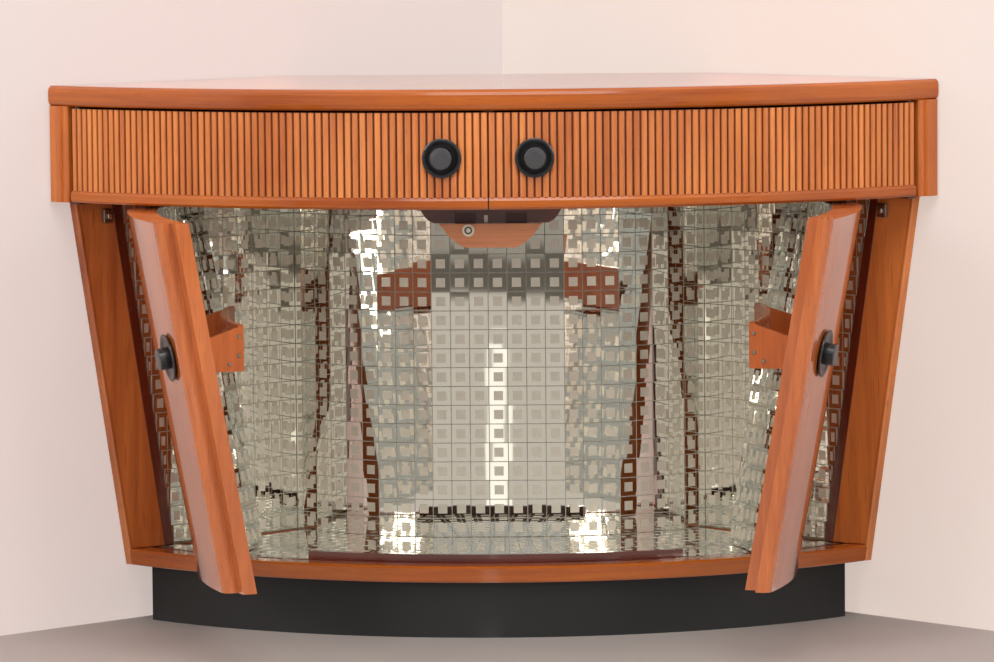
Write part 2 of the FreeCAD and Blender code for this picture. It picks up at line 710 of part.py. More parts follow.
rail = lathe("upper_rail_bow", [
    (UPPER_BACK_FACE, UPPER_FOOT),
    ("front_radius - 2", UPPER_FOOT),
    ("front_radius + 1.5", UPPER_FOOT + " + 4"),
    ("front_radius + 1.5", RAIL_TOP + " - 5"),
    ("front_radius - 2", RAIL_TOP),
    (UPPER_BACK_FACE, RAIL_TOP)], DOOR_END + " - lap_gap_angle")
rail.Placement = turn(-90 - number(DOOR_END + " + lap_gap_angle") / 2)
bore = post("upper_boss_bore", "upper_pin + pin_fit", UPPER_FOOT + " - 1", UPPER_FOOT + " + 13", UPPER_PIVOT)
seat = post("upper_boss_seat", "boss_radius", UPPER_FOOT + " - 1", UPPER_FOOT + " + boss_height", UPPER_PIVOT)
rail = cut("upper_rail_bored", rail, seat)
rail.Placement = HOME
pair(rail, "upper_rail")

flange = post("upper_pivot_flange", "upper_pin + 2.5", UPPER_HEAD, UPPER_HEAD + " + 2.5", UPPER_PIVOT)
pin = post("upper_pivot_pin", "upper_pin", UPPER_HEAD, MOULD_FOOT + " + 11", UPPER_PIVOT)
boss = post("upper_boss", "boss_radius", UPPER_FOOT, UPPER_FOOT + " + boss_height", UPPER_PIVOT)
pivot = group("upper_pivot", [fuse("upper_pivot_top", flange, pin), cut("upper_boss_bored", boss, bore)])
pivot.Placement = HOME
pair(pivot, "upper_pivot")


# ---------------------------------------------------------------- knobs
def knob(name, across, place):
    """Shallow turned dish with a flat-ended button in its middle, outward along the local Z."""
    dish = turned(name + "_dish", [(across + " * 0.44", "0"), (across + " * 0.5", "knob_rim * 0.6"),
                                   (across + " * 0.5", "knob_rim * 0.9"), (across + " * 0.47", "knob_rim")])
    cup = turned(name + "_cup", [("button_size * 0.5 + 0.3", "knob_rim * 0.45"), (across + " * 0.34", "knob_rim * 0.55"),
                                 (across + " * 0.43", "knob_rim"), (across + " * 0.45", "knob_rim + 1")])
    bore = turned(name + "_bore", [("button_size * 0.5 + 0.3", "-1"), ("button_size * 0.5 + 0.3", "knob_rim")])
    rosette = cut(name + "_rosette", dish, fuse(name + "_waste", cup, bore))
    button = turned(name + "_button", [("button_size * 0.5", "0"), ("button_size * 0.5", "knob_height * 0.9"),
                                       ("button_size * 0.46", "knob_height * 0.97"), ("button_size * 0.3", "knob_height")])
    button = group(name + "_button_set", [button])
    rosette.Placement = place
    button.Placement = place
    return rosette, button


def facing(reach, angle, z, droop):
    """Seat on the bowed front, its Z square to the surface."""
    return turn(-90 + angle) * shift(reach, 0, z) * turn(90 + droop, V(0, 1, 0))


crest = size("front_radius") * math.cos(math.radians(size("reed_pitch_angle") / 2))
seat = HOME * facing(crest, -number("upper_knob_reeds * reed_pitch_angle"), number("upper_knob_z"), 0)
rosette, button = knob("upper_knob", "upper_knob", seat)
pair(rosette, "upper_rosette")
pair(button, "upper_button")

# ---------------------------------------------------------------- lower doors
DOOR_Z0 = "(%s + door_gap)" % SILL
DOOR_Z1 = "(ceiling_z - head_gap)"
OUT0, OUT1 = lean(DOOR_Z0), lean(DOOR_Z1)
OPEN_LEFT = HOME * shift(PIVOT.x, PIVOT.y) * turn(-size("open_left")) * shift(-PIVOT.x, -PIVOT.y)
OPEN_RIGHT = HOME * shift(PIVOT_R.x, PIVOT_R.y) * turn(size("open_right")) * shift(-PIVOT_R.x, -PIVOT_R.y)


def door_band(name, inner, outer, z0, z1, a0, a1):
    """Piece of the door between two depths behind its outer face."""
    return band(name, "%s - (%s)" % (lean(z0), inner), "%s - (%s)" % (lean(z1), inner),
                "%s - (%s)" % (lean(z0), outer), "%s - (%s)" % (lean(z1), outer), z0, z1, a0, a1)


# the leaf ends in a cone about the pivot, so it can turn inside the jamb
shell = door_band("door_blank", "door_thick", "0", DOOR_Z0, DOOR_Z1, "-end_angle", "-stile_angle")
swing = drum("swing_end", "swing_foot", "swing_head", DOOR_Z0, DOOR_Z1)
swing.Placement = shift(PIVOT.x, PIVOT.y, number(DOOR_Z0))
before = drum("before_pivot", "front_radius", "front_radius", DOOR_Z0, DOOR_Z1, "-pivot_angle", "0")
shell = common("door_leaf", shell, fuse("door_limit", swing, before))
arm = box("arm_plate", "pivot_radius - arm_width / 2", "%s - door_thick + 34" % OUT1, "-arm_width / 2", "arm_width / 2",
          DOOR_Z1 + " - plate_thick", DOOR_Z1, -90 - size("pivot_angle"))
arm_seat = box("arm_recess", "pivot_radius", "%s - door_thick + 34.3" % OUT1, "-arm_width / 2 - 0.3",
               "arm_width / 2 + 0.3", DOOR_Z1 + " - plate_thick", DOOR_Z1 + " + 1", -90 - size("pivot_angle"))
foot_seat = post("foot_pin_seat", "pin_radius + 0.3", DOOR_Z0 + " - 1", DOOR_Z0 + " + 25", PIVOT)
shell = cut("door_leaf_cut", shell, group("door_seats", [arm_seat, foot_seat]))
keep(shell, "lower_door_left", OPEN_LEFT)
keep(group("door_right_leaf", [other_side(cut("door_leaf_again", shell.Base, shell.Tool), "door_leaf_mirror")]),
     "lower_door_right", OPEN_RIGHT)

# half-lapped meeting stiles: the left one keeps the inner half, the right one the outer
LAP = "lap_angle - lap_gap_angle"


def edge_waste(s, sign):
    """What the rounding takes off the free edge's outer corner, in three facets."""
    corner = lean(DOOR_Z0)
    body = leaning("edge_waste_" + s, [
        (corner, "0"),
        (corner + " + 3", "0"),
        (corner + " + 3", "edge_round + 1"),
        (corner + " - edge_round", "edge_round + 1"),
        (corner + " - edge_round", "edge_round"),
        (corner + " - edge_round * 0.5", "edge_round * 0.866"),
        (corner + " - edge_round * 0.134", "edge_round * 0.5")], DOOR_Z0, DOOR_Z1)
    body.Placement = turn(-90 - number("lap_angle" if sign < 0 else "-(%s)" % LAP)) * shift(0, -size("edge_round"), 0)
    return body if sign < 0 else other_side(body, "edge_waste_mirror")


for s, sign, inner, outer, place in (("left", -1, "door_thick", "door_thick / 2 + 0.5", OPEN_LEFT),
                                     ("right", 1, "door_thick / 2 - 0.5", "0", OPEN_RIGHT)):
    if sign < 0:
        whole = door_band("stile_whole_l", "door_thick", "0", DOOR_Z0, DOOR_Z1, "-stile_angle", "-lap_angle")
        tongue = door_band("stile_tongue_l", inner, outer, DOOR_Z0, DOOR_Z1, "-lap_angle", LAP)
    else:
        whole = door_band("stile_whole_r", "door_thick", "0", DOOR_Z0, DOOR_Z1, "lap_angle", "stile_angle")
        tongue = door_band("stile_tongue_r", inner, outer, DOOR_Z0, DOOR_Z1, "-(%s)" % LAP, "lap_angle")
    stile = cut("stile_rounded_" + s, fuse("stile_" + s, whole, tongue), edge_waste(s, sign))
    keep(stile, "lower_stile_" + s, place)

foot_pin = post("foot_pin", "pin_radius", SILL + " - " + PIN_DEPTH + " + 1", DOOR_Z0 + " + 25", PIVOT)
head_pin = post("head_pin", "pin_radius", DOOR_Z1 + " - plate_thick", "ceiling_z + 12", PIVOT)
door_pins = group("door_pins", [fuse("arm_and_pin", arm, head_pin), foot_pin])
keep(group("door_pins_left", [door_pins]), "lower_pivot_left", OPEN_LEFT)
keep(group("door_pins_right", [other_side(door_pins, "door_pins_mirror")]), "lower_pivot_right", OPEN_RIGHT)

droop = math.degrees(math.atan(LEAN_SLOPE))
knob_reach = number(lean("lower_knob_z"))
for s, sign, place in (("left", -1, OPEN_LEFT), ("right", 1, OPEN_RIGHT)):
    seat = place * facing(knob_reach, sign * size("lower_knob_angle"), number("lower_knob_z"), droop)
    rosette, button = knob("lower_knob_" + s, "lower_knob", seat)
    keep(rosette, "lower_rosette_" + s)
    keep(button, "lower_button_" + s)

# open-topped holders on the doors' inner faces
HOLDER_Z1 = "(holder_z + holder_height)"
DOOR_IN = "(%s - door_thick)" % lean("holder_z")
HOLDER_IN = "(%s - holder_reach)" % DOOR_IN
HOLDER_TURN = "(holder_length / %s * 180 / pi)" % DOOR_IN
CHEEK_TURN = "(holder_board / %s * 180 / pi)" % DOOR_IN
near0, near1 = "-(holder_start + %s)" % CHEEK_TURN, "-holder_start"
far0, far1 = "-(holder_start + %s)" % HOLDER_TURN, "-(holder_start + %s - %s)" % (HOLDER_TURN, CHEEK_TURN)
boards = []
for tag, a0, a1 in (("near", near0, near1), ("far", far0, far1)):
    cheek = band("cheek_" + tag, HOLDER_IN, HOLDER_IN, DOOR_IN, lean(HOLDER_Z1) + " - door_thick", "holder_z",
                 HOLDER_Z1, a0, a1)
    boards.append(cheek)
# the cheeks' top edges fall towards the door
slant_in = "(%s - 1)" % HOLDER_IN
slant_out = "(%s - door_thick + 1)" % lean("(holder_z + holder_back)")
slope = doc.addObject("Part::Cone", "cheek_slope")
bind(slope, Radius1=slant_out, Radius2=slant_in, Height="holder_height - holder_back")
slope.setExpression("Placement.Base.z", bound("holder_z + holder_back"))
above = drum("cheek_above", "front_radius", "front_radius", "holder_z + holder_back", HOLDER_Z1 + " + 1")
cheeks = cut("cheeks_slanted", group("cheeks", boards), cut("cheek_waste", above, slope))
front = band("holder_front", HOLDER_IN, HOLDER_IN, HOLDER_IN + " + holder_board", HOLDER_IN + " + holder_board",
             "holder_z", HOLDER_Z1, far1, near0)
BASE_Z0 = "(holder_z + holder_board)"
base = band("holder_base", HOLDER_IN + " + holder_board", HOLDER_IN + " + holder_board",
            lean(BASE_Z0) + " - door_thick", lean(BASE_Z0 + " + holder_board") + " - door_thick",
            BASE_Z0, BASE_Z0 + " + holder_board", far1, near0)
trough = group("trough", [cheeks, front, base])
keep(group("holder_left_boards", [trough]), "holder_left", OPEN_LEFT)
keep(group("holder_right_boards", [other_side(trough, "trough_mirror")]), "holder_right", OPEN_RIGHT)

screws = []
for inward, z in (("8", "holder_z + 26"), ("8", "holder_z + 57"), ("24", "holder_z + 12")):
    screw = group("holder_screw", [turned("screw_head", [("screw_size / 2", "0"), ("screw_size * 0.38", "1.6")], "12")])
    reach = number("%s + %s" % (HOLDER_IN, inward))
    screw.Placement = turn(-90 - size("holder_start")) * shift(reach, 0, number(z)) * turn(-90, V(1, 0, 0))
    screws.append(screw)
screws = group("holder_screw_set", screws)
keep(group("screws_left", [screws]), "holder_screws_left", OPEN_LEFT)
keep(group("screws_right", [other_side(screws, "screws_mirror")]), "holder_screws_right", OPEN_RIGHT)

# ---------------------------------------------------------------- fold-out shelf
BRACKET_FOOT = "(ceiling_z - bracket_drop)"
HALF = 1000


def upright(name, corners, depth, front):
    """Board cut to a shape seen from the front, its face at a distance from the corner."""
    spaced = [("%d + (%s)" % (HALF, x), z) for x, z in corners]
    body = slab(name, spaced, depth, role="XZ_Plane")
    body.Placement = shift(-HALF, 0, 0)
    inside = group(name + "_set", [body])
    inside.Placement = shift(0, number("%s - (%s)" % (depth, front)), 0)
    return inside


def both_sides(corners):
    return corners + [("-(%s)" % x, z) for x, z in reversed(corners)]


bracket = upright("bracket_board", both_sides([
    ("bracket_width / 2", "ceiling_z"),
    ("bracket_width / 2 - 1", "ceiling_z - bracket_drop * 0.25"),
    ("bracket_foot / 2 + 13", "ceiling_z - bracket_drop * 0.55"),
    ("bracket_foot / 2 + 5", "ceiling_z - bracket_drop * 0.85"),
    ("bracket_foot / 2 - 4", BRACKET_FOOT)]), "bracket_thick", "bracket_front")
AXIS_OUT = "(bracket_front + hinge_radius + 0.3)"
AXIS_Z = "(%s - hinge_radius)" % BRACKET_FOOT


def fitting(name, x0, x1, near, far, below, above):
    """Block round the shelf's hinge line: depths behind the line, heights above it."""
    return box(name, x0, x1, "-%s + (%s)" % (AXIS_OUT, near), "-%s + (%s)" % (AXIS_OUT, far),
               "%s + (%s)" % (AXIS_Z, below), "%s + (%s)" % (AXIS_Z, above))


def along_hinge(name, radius, x0, x1):
    rod = doc.addObject("Part::Cylinder", name)
    bind(rod, Radius=radius, Height="%s - (%s)" % (x1, x0))
    rod.Placement = shift(number(x0), -number(AXIS_OUT), number(AXIS_Z)) * turn(90, V(0, 1, 0))
    return rod


hinge_parts, recesses = [], []
for s, x0, x1 in (("l", "-hinge_half - 36", "-hinge_half - 0.3"), ("r", "hinge_half + 0.3", "hinge_half + 36")):
    web = fitting("hinge_web_" + s, x0, x1, "0", "hinge_radius + 0.3 + flap", "hinge_radius - flap", "hinge_radius")
    flap = fitting("hinge_flap_" + s, x0, x1, "hinge_radius + 0.3", "hinge_radius + 0.3 + flap",
                   "hinge_radius - flap", "hinge_radius + 17")
    tube = along_hinge("hinge_tube_" + s, "hinge_radius", x0, x1)
    hinge_parts += [web, flap, tube]
    recesses.append(fitting("flap_recess_" + s, x0 + " - 0.2", x1 + " + 0.2", "hinge_radius", "hinge_radius + 0.3 + flap",
                            "hinge_radius - flap", "hinge_radius + 17.2"))
hinge_parts.append(along_hinge("hinge_rod", "hinge_pin", "-hinge_half - 30", "hinge_half + 30"))
hinge = doc.addObject("Part::MultiFuse", "hinge_fixed")
hinge.Shapes = hinge_parts
strike = fitting("strike_plate", "-11", "-5", "hinge_radius + 0.3", "hinge_radius + 0.3 + flap",
                 "hinge_radius + 1", "hinge_radius + 13")
recesses.append(fitting("strike_recess", "-11.2", "-4.8", "hinge_radius", "hinge_radius + 0.3 + flap",
                        "hinge_radius + 0.8", "hinge_radius + 13.2"))
keep(cut("bracket_let_in", bracket, group("bracket_recesses", recesses)), "shelf_bracket", HOME)
keep(group("hinge_set", [hinge, strike]), "shelf_hinge", HOME)

leaf = upright("leaf_board", both_sides([
    ("leaf_width / 2", BRACKET_FOOT),
    ("leaf_width / 2 - 8", BRACKET_FOOT + " - leaf_drop * 0.22"),
    ("leaf_foot / 2 + 29", BRACKET_FOOT + " - leaf_drop * 0.5"),
    ("leaf_foot / 2 + 13", BRACKET_FOOT + " - leaf_drop * 0.82"),
    ("leaf_foot / 2 + 5", BRACKET_FOOT + " - leaf_drop * 0.95"),
    ("leaf_foot / 2 - 3", BRACKET_FOOT + " - leaf_drop")]), "leaf_thick", AXIS_OUT + " + leaf_thick")
rebate = fitting("leaf_rebate", "-leaf_width", "leaf_width", "-hinge_radius - 0.3", "1", "-hinge_radius - 0.3", "10")
keep(cut("leaf_rebated", leaf, rebate), "shelf_leaf", HOME)

tube = along_hinge("leaf_tube", "hinge_radius", "-hinge_half", "hinge_half")
flap = fitting("leaf_flap", "-hinge_half", "hinge_half", "0", "flap", "-leaf_drop * 0.5", "0")
bore = along_hinge("leaf_bore", "hinge_pin + pin_fit", "-hinge_half - 1", "hinge_half + 1")
leaf_hinge = cut("leaf_hinge", fuse("leaf_hinge_solid", tube, flap), bore)
plate_ring = turned("lock_plate", [("ring_size / 2", "0"), ("ring_size / 2", "1.6"), ("ring_size * 0.43", "2.4")])
hollow = turned("lock_hollow", [("ring_size * 0.29", "0.9"), ("ring_size * 0.31", "2.5")])
core = turned("lock_core", [("ring_size * 0.2", "0.5"), ("ring_size * 0.18", "2.6")], "12")
lock = group("leaf_lock", [fuse("lock_whole", cut("lock_cup", plate_ring, hollow), core)])
lock.Placement = shift(-37, -number(AXIS_OUT + " + leaf_thick"), number(BRACKET_FOOT + " - ring_size / 2 - 0.5")) \
    * turn(90, V(1, 0, 0))
keep(group("leaf_metal", [leaf_hinge, lock]), "leaf_fittings", HOME)

# ---------------------------------------------------------------- checks and export
doc.recompute()
faults = [thing.Name for thing in doc.Objects if {"Invalid", "Error"} & set(thing.State)]
for thing in nodes:
    if thing.Shape.isNull() or not thing.Shape.isValid() or not thing.Shape.Solids:
        faults.append(thing.Label)
if faults:
    raise SystemExit("unsound: " + ", ".join(faults))
os.makedirs("parts", exist_ok=True)
for thing in nodes:
    thing.Shape.exportStep("parts/%s.step" % thing.Label)
print(len(nodes), "sub-parts written")
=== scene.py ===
import bpy
import math
import random
from mathutils import Matrix, Vector


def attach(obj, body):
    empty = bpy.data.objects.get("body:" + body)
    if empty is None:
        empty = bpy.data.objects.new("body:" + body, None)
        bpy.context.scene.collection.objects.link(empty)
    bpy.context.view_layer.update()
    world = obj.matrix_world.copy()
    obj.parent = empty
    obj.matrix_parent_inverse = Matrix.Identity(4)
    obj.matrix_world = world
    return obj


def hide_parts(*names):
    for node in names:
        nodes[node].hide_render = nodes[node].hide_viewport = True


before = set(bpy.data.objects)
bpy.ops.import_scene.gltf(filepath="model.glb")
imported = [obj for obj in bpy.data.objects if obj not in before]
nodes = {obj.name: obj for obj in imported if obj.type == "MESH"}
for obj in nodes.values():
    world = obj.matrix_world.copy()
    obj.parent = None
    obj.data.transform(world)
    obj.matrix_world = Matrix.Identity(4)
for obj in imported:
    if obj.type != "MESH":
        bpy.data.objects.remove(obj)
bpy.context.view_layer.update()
random.seed(4)
print("frame loaded")

# plan values shared by several pieces, in metres and degrees
plan = {
    "cornerBack": 0.640,
    "frontRadius": 1.060,
    "pivotRadius": 0.890,
    "pivotAngle": 31.3,
    "openLeft": 66.8,
    "openRight": 70.5,
    "footRadius": 0.9095,
    "headRadius": 1.023,
    "footZ": 0.096,
    "ceilingZ": 0.731,
}


# a place turned about an upright line
def spun(point, centre, degrees):
    turn = Matrix.Rotation(math.radians(degrees), 2)
    return turn @ (Vector(point) - Vector(centre)) + Vector(centre)


pivotX = plan["pivotRadius"] * math.sin(math.radians(plan["pivotAngle"]))
pivotY = plan["cornerBack"] - plan["pivotRadius"] * math.cos(math.radians(plan["pivotAngle"]))
cornerLine = (0.0, plan["cornerBack"])
# where the bow's centre goes with each open door
leftDoorCentre = spun(cornerLine, (-pivotX, pivotY), -plan["openLeft"])
rightDoorCentre = spun(cornerLine, (pivotX, pivotY), plan["openRight"])


camera = {
    "place": (0.22023, -8.63034, 1.25022),
    "yaw": -0.02534,
    "pitch": 0.08715,
    "roll": 0.00863,
    "lens": 182.43,
    "sensor": 36,
    "farEnd": 60,
}


def aimCamera():
    yaw, pitch, roll = camera["yaw"], camera["pitch"], camera["roll"]
    right = Vector((math.cos(yaw), -math.sin(yaw), 0))
    ahead = Vector((math.sin(yaw), math.cos(yaw), 0))
    forward = ahead * math.cos(pitch) - Vector((0, 0, 1)) * math.sin(pitch)
    up = ahead * math.sin(pitch) + Vector((0, 0, 1)) * math.cos(pitch)
    tiltedRight = right * math.cos(roll) - up * math.sin(roll)
    tiltedUp = right * math.sin(roll) + up * math.cos(roll)
    lens = bpy.data.cameras.new("camera")
    lens.lens = camera["lens"]
    lens.sensor_width = camera["sensor"]
    lens.clip_end = camera["farEnd"]
    eye = bpy.data.objects.new("camera", lens)
    bpy.context.scene.collection.objects.link(eye)
    facing = Matrix((tiltedRight, tiltedUp, -forward)).transposed().to_4x4()
    eye.matrix_world = Matrix.Translation(camera["place"]) @ facing
    bpy.context.scene.camera = eye


aimCamera()
print("camera aimed")


def blankMaterial(name):
    material = bpy.data.materials.new(name)
    material.use_nodes = True
    tree = material.node_tree
    return material, tree, tree.nodes["Principled BSDF"]


def wire(tree, source, output, target, socket):
    tree.links.new(source.outputs[output], target.inputs[socket])


# a socket takes either a fixed value or a link
def feed(tree, value, socket):
    if isinstance(value, bpy.types.NodeSocket):
        tree.links.new(value, socket)
    else:
        socket.default_value = value


def mathNode(tree, kind, first, second=None):
    node = tree.nodes.new("ShaderNodeMath")
    node.operation = kind
    feed(tree, first, node.inputs[0])
    if second is not None:
        feed(tree, second, node.inputs[1])
    return node.outputs[0]


def mixColours(tree, factor, first, second, blend="MIX"):
    node = tree.nodes.new("ShaderNodeMix")
    node.data_type = "RGBA"
    node.blend_type = blend
    for value, index in ((factor, 0), (first, 6), (second, 7)):
        feed(tree, value, node.inputs[index])
    return node.outputs[2]


def rangeNode(tree, value, limits, smooth=False):
    node = tree.nodes.new("ShaderNodeMapRange")
    if smooth:
        node.interpolation_type = "SMOOTHSTEP"
    for socket, limit in limits.items():
        node.inputs[socket].default_value = limit
    tree.links.new(value, node.inputs["Value"])
    return node.outputs[0]


def joinAxes(tree, *values):
    node = tree.nodes.new("ShaderNodeCombineXYZ")
    for index, value in enumerate(values):
        tree.links.new(value, node.inputs[index])
    return node.outputs[0]


def splitAxes(tree, vector):
    node = tree.nodes.new("ShaderNodeSeparateXYZ")
    tree.links.new(vector, node.inputs[0])
    return node.outputs


def objectPlace(tree):
    return tree.nodes.new("ShaderNodeTexCoord").outputs["Object"]


def addRelief(tree, shader, height, strength, distance):
    relief = tree.nodes.new("ShaderNodeBump")
    relief.inputs["Strength"].default_value = strength
    relief.inputs["Distance"].default_value = distance
    tree.links.new(height, relief.inputs["Height"])
    wire(tree, relief, 0, shader, "Normal")


def newGroup(name, inputs, outputs):
    tree = bpy.data.node_groups.new(name, "ShaderNodeTree")
    for socketName, kind, value in inputs:
        socket = tree.interface.new_socket(name=socketName, in_out="INPUT", socket_type="NodeSocket" + kind)
        if value is not None:
            socket.default_value = value
    for socketName, kind in outputs:
        tree.interface.new_socket(name=socketName, in_out="OUTPUT", socket_type="NodeSocket" + kind)
    return tree, tree.nodes.new("NodeGroupInput"), tree.nodes.new("NodeGroupOutput")


def placeGroup(tree, group, values):
    node = tree.nodes.new("ShaderNodeGroup")
    node.node_tree = group
    for socket, value in values.items():
        feed(tree, value, node.inputs[socket])
    return node


# turns a place into (length round the bow, height, depth), all in metres
def buildBowMap():
    tree, source, sink = newGroup("bowMap", [
        ("Centre X", "Float", 0.0), ("Centre Y", "Float", plan["cornerBack"]), ("Radius", "Float", 1.0)],
        [("Vector", "Vector")])
    x, y, z = splitAxes(tree, objectPlace(tree))
    across = mathNode(tree, "SUBTRACT", x, source.outputs["Centre X"])
    ahead = mathNode(tree, "SUBTRACT", source.outputs["Centre Y"], y)
    angle = mathNode(tree, "ARCTAN2", across, ahead)
    length = mathNode(tree, "MULTIPLY", angle, source.outputs["Radius"])
    squares = mathNode(tree, "MULTIPLY", across, across), mathNode(tree, "MULTIPLY", ahead, ahead)
    depth = mathNode(tree, "SQRT", mathNode(tree, "ADD", *squares))
    tree.links.new(joinAxes(tree, length, z, depth), sink.inputs["Vector"])
    return tree


# each layer of noise has a scale, a detail and a stretch along the grain
grainLook = {
    "streaks": (150.0, 5.0, 0.035),
    "bands": (22.0, 3.0, 0.12),
    "drift": (5.0, 2.0, 0.6),
    "pores": (900.0, 1.0, 0.03),
    "noiseRoughness": 0.6,
    "streakShare": 0.55,
    "bandShare": 0.6,
    "toneRange": {"From Min": 0.36, "From Max": 0.80},
    "poreRange": {"From Min": 0.62, "From Max": 0.70, "To Max": 0.35},
    "poreColour": (0.35, 0.22, 0.16, 1),
    "roughness": 0.16,
    "roughnessDrift": 0.10,
    "streakHeight": 0.15,
    "reliefStrength": 0.25,
    "reliefDistance": 0.002,
    "coatRoughness": 0.06,
}


# straight grain along the vector's X, with pores and slow colour drift
def buildGrain():
    tree, source, sink = newGroup("polishedGrain", [
        ("Vector", "Vector", None), ("Light", "Color", (0.6, 0.25, 0.08, 1)),
        ("Dark", "Color", (0.3, 0.09, 0.02, 1)), ("Fineness", "Float", 1.0), ("Figure", "Float", 0.5),
        ("Seed", "Float", 0.0)], [("Color", "Color"), ("Roughness", "Float"), ("Height", "Float")])

    def layer(scale, detail, along):
        move = tree.nodes.new("ShaderNodeVectorMath")
        move.operation = "MULTIPLY"
        wire(tree, source, "Vector", move, 0)
        move.inputs[1].default_value = (along, 1.0, 1.0)
        noise = tree.nodes.new("ShaderNodeTexNoise")
        noise.noise_dimensions = "4D"
        noise.inputs["Detail"].default_value = detail
        noise.inputs["Roughness"].default_value = grainLook["noiseRoughness"]
        wire(tree, move, 0, noise, "Vector")
        feed(tree, mathNode(tree, "MULTIPLY", source.outputs["Fineness"], scale), noise.inputs["Scale"])
        wire(tree, source, "Seed", noise, "W")
        return noise.outputs["Fac"]

    def share(value, amount):
        return mathNode(tree, "MULTIPLY", value, amount)

    streaks, bands = layer(*grainLook["streaks"]), layer(*grainLook["bands"])
    drift, pores = layer(*grainLook["drift"]), layer(*grainLook["pores"])
    streaked = share(streaks, grainLook["streakShare"])
    base = mathNode(tree, "ADD", streaked, share(bands, grainLook["bandShare"]))
    figure = share(mathNode(tree, "SUBTRACT", drift, 0.5), source.outputs["Figure"])
    ramp = rangeNode(tree, mathNode(tree, "ADD", base, figure), grainLook["toneRange"])
    blend = mixColours(tree, ramp, source.outputs["Dark"], source.outputs["Light"])
    speck = rangeNode(tree, pores, grainLook["poreRange"])
    colour = mixColours(tree, speck, blend, grainLook["poreColour"], "MULTIPLY")
    gloss = mathNode(tree, "ADD", share(drift, grainLook["roughnessDrift"]), grainLook["roughness"])
    height = mathNode(tree, "ADD", drift, share(streaks, grainLook["streakHeight"]))
    for value, socket in ((colour, "Color"), (gloss, "Roughness"), (height, "Height")):
        tree.links.new(value, sink.inputs[socket])
    return tree


# the doors' squares: middle and joint are half widths as shares of the pitch
squareLook = {
    "pitch": 0.0331,
    "middle": 0.265,
    "joint": 0.48,
    "clearColour": (0.80, 0.79, 0.73, 1),
    "frostedColour": (0.80, 0.745, 0.63, 1),
    "jointColour": (0.42, 0.40, 0.34, 1),
    "lostSilver": 0.55,
    "roughness": 0.02,
    "addedRoughness": 0.36,
    "leanDistance": 0.0014,
    "facing": 0.9,
}


# masks of the frosted middles and the joints, and a height that leans each square its own way
def buildMosaic():
    tree, source, sink = newGroup("mosaic", [
        ("Vector", "Vector", None), ("Pitch", "Float", squareLook["pitch"])],
        [("Frosted", "Float"), ("Joint", "Float"), ("Height", "Float")])
    x, z = splitAxes(tree, source.outputs["Vector"])[:2]
    across = mathNode(tree, "DIVIDE", x, source.outputs["Pitch"])
    rise = mathNode(tree, "DIVIDE", z, source.outputs["Pitch"])
    inX = mathNode(tree, "SUBTRACT", mathNode(tree, "FRACT", across), 0.5)
    inZ = mathNode(tree, "SUBTRACT", mathNode(tree, "FRACT", rise), 0.5)
    edge = mathNode(tree, "MAXIMUM", mathNode(tree, "ABSOLUTE", inX), mathNode(tree, "ABSOLUTE", inZ))
    tree.links.new(mathNode(tree, "LESS_THAN", edge, squareLook["middle"]), sink.inputs["Frosted"])
    tree.links.new(mathNode(tree, "GREATER_THAN", edge, squareLook["joint"]), sink.inputs["Joint"])
    cell = tree.nodes.new("ShaderNodeCombineXYZ")
    tree.links.new(mathNode(tree, "FLOOR", across), cell.inputs[0])
    tree.links.new(mathNode(tree, "FLOOR", rise), cell.inputs[1])
    chance = tree.nodes.new("ShaderNodeTexWhiteNoise")
    wire(tree, cell, 0, chance, "Vector")
    lean = tree.nodes.new("ShaderNodeSeparateColor")
    wire(tree, chance, "Color", lean, 0)
    leanX = mathNode(tree, "MULTIPLY", inX, mathNode(tree, "SUBTRACT", lean.outputs[0], 0.5))
    leanZ = mathNode(tree, "MULTIPLY", inZ, mathNode(tree, "SUBTRACT", lean.outputs[1], 0.5))
    tree.links.new(mathNode(tree, "ADD", leanX, leanZ), sink.inputs["Height"])
    return tree


bowMap = buildBowMap()
mosaic = buildMosaic()
polishedGrain = buildGrain()
grainOrder = {"x": (0, 1, 2), "y": (1, 0, 2), "z": (2, 0, 1)}


# grain names the axis that it runs along; with a centre, the axes are those of the bow map
def woodMaterial(name, light, dark, grain, fineness, figure, coat, seed, centre=None, radius=1.0,
                 roughness=None):
    material, tree, shader = blankMaterial(name)
    if centre is None:
        vector = objectPlace(tree)
    else:
        bow = placeGroup(tree, bowMap, {"Centre X": centre[0], "Centre Y": centre[1], "Radius": radius})
        vector = bow.outputs["Vector"]
    axes = splitAxes(tree, vector)
    vector = joinAxes(tree, *[axes[index] for index in grainOrder[grain]])
    wood = placeGroup(tree, polishedGrain, {"Vector": vector, "Light": (*light, 1), "Dark": (*dark, 1),
                                            "Fineness": fineness, "Figure": figure, "Seed": seed})
    wire(tree, wood, "Color", shader, "Base Color")
    feed(tree, wood.outputs["Roughness"] if roughness is None else roughness, shader.inputs["Roughness"])
    addRelief(tree, shader, wood.outputs["Height"], grainLook["reliefStrength"], grainLook["reliefDistance"])
    shader.inputs["Coat Weight"].default_value = coat
    shader.inputs["Coat Roughness"].default_value = grainLook["coatRoughness"]
    return material


reeding = {
    "slip": 0.6812,          # degrees from one slip to the next
    "grooveShadeRange": {"From Min": 0.29, "From Max": 0.50},
    "grooveShadeColour": (0.12, 0.020, 0.004, 1),
    "shadeShare": 0.55,
    "shadeColour": (0.62, 0.50, 0.42, 1),
}
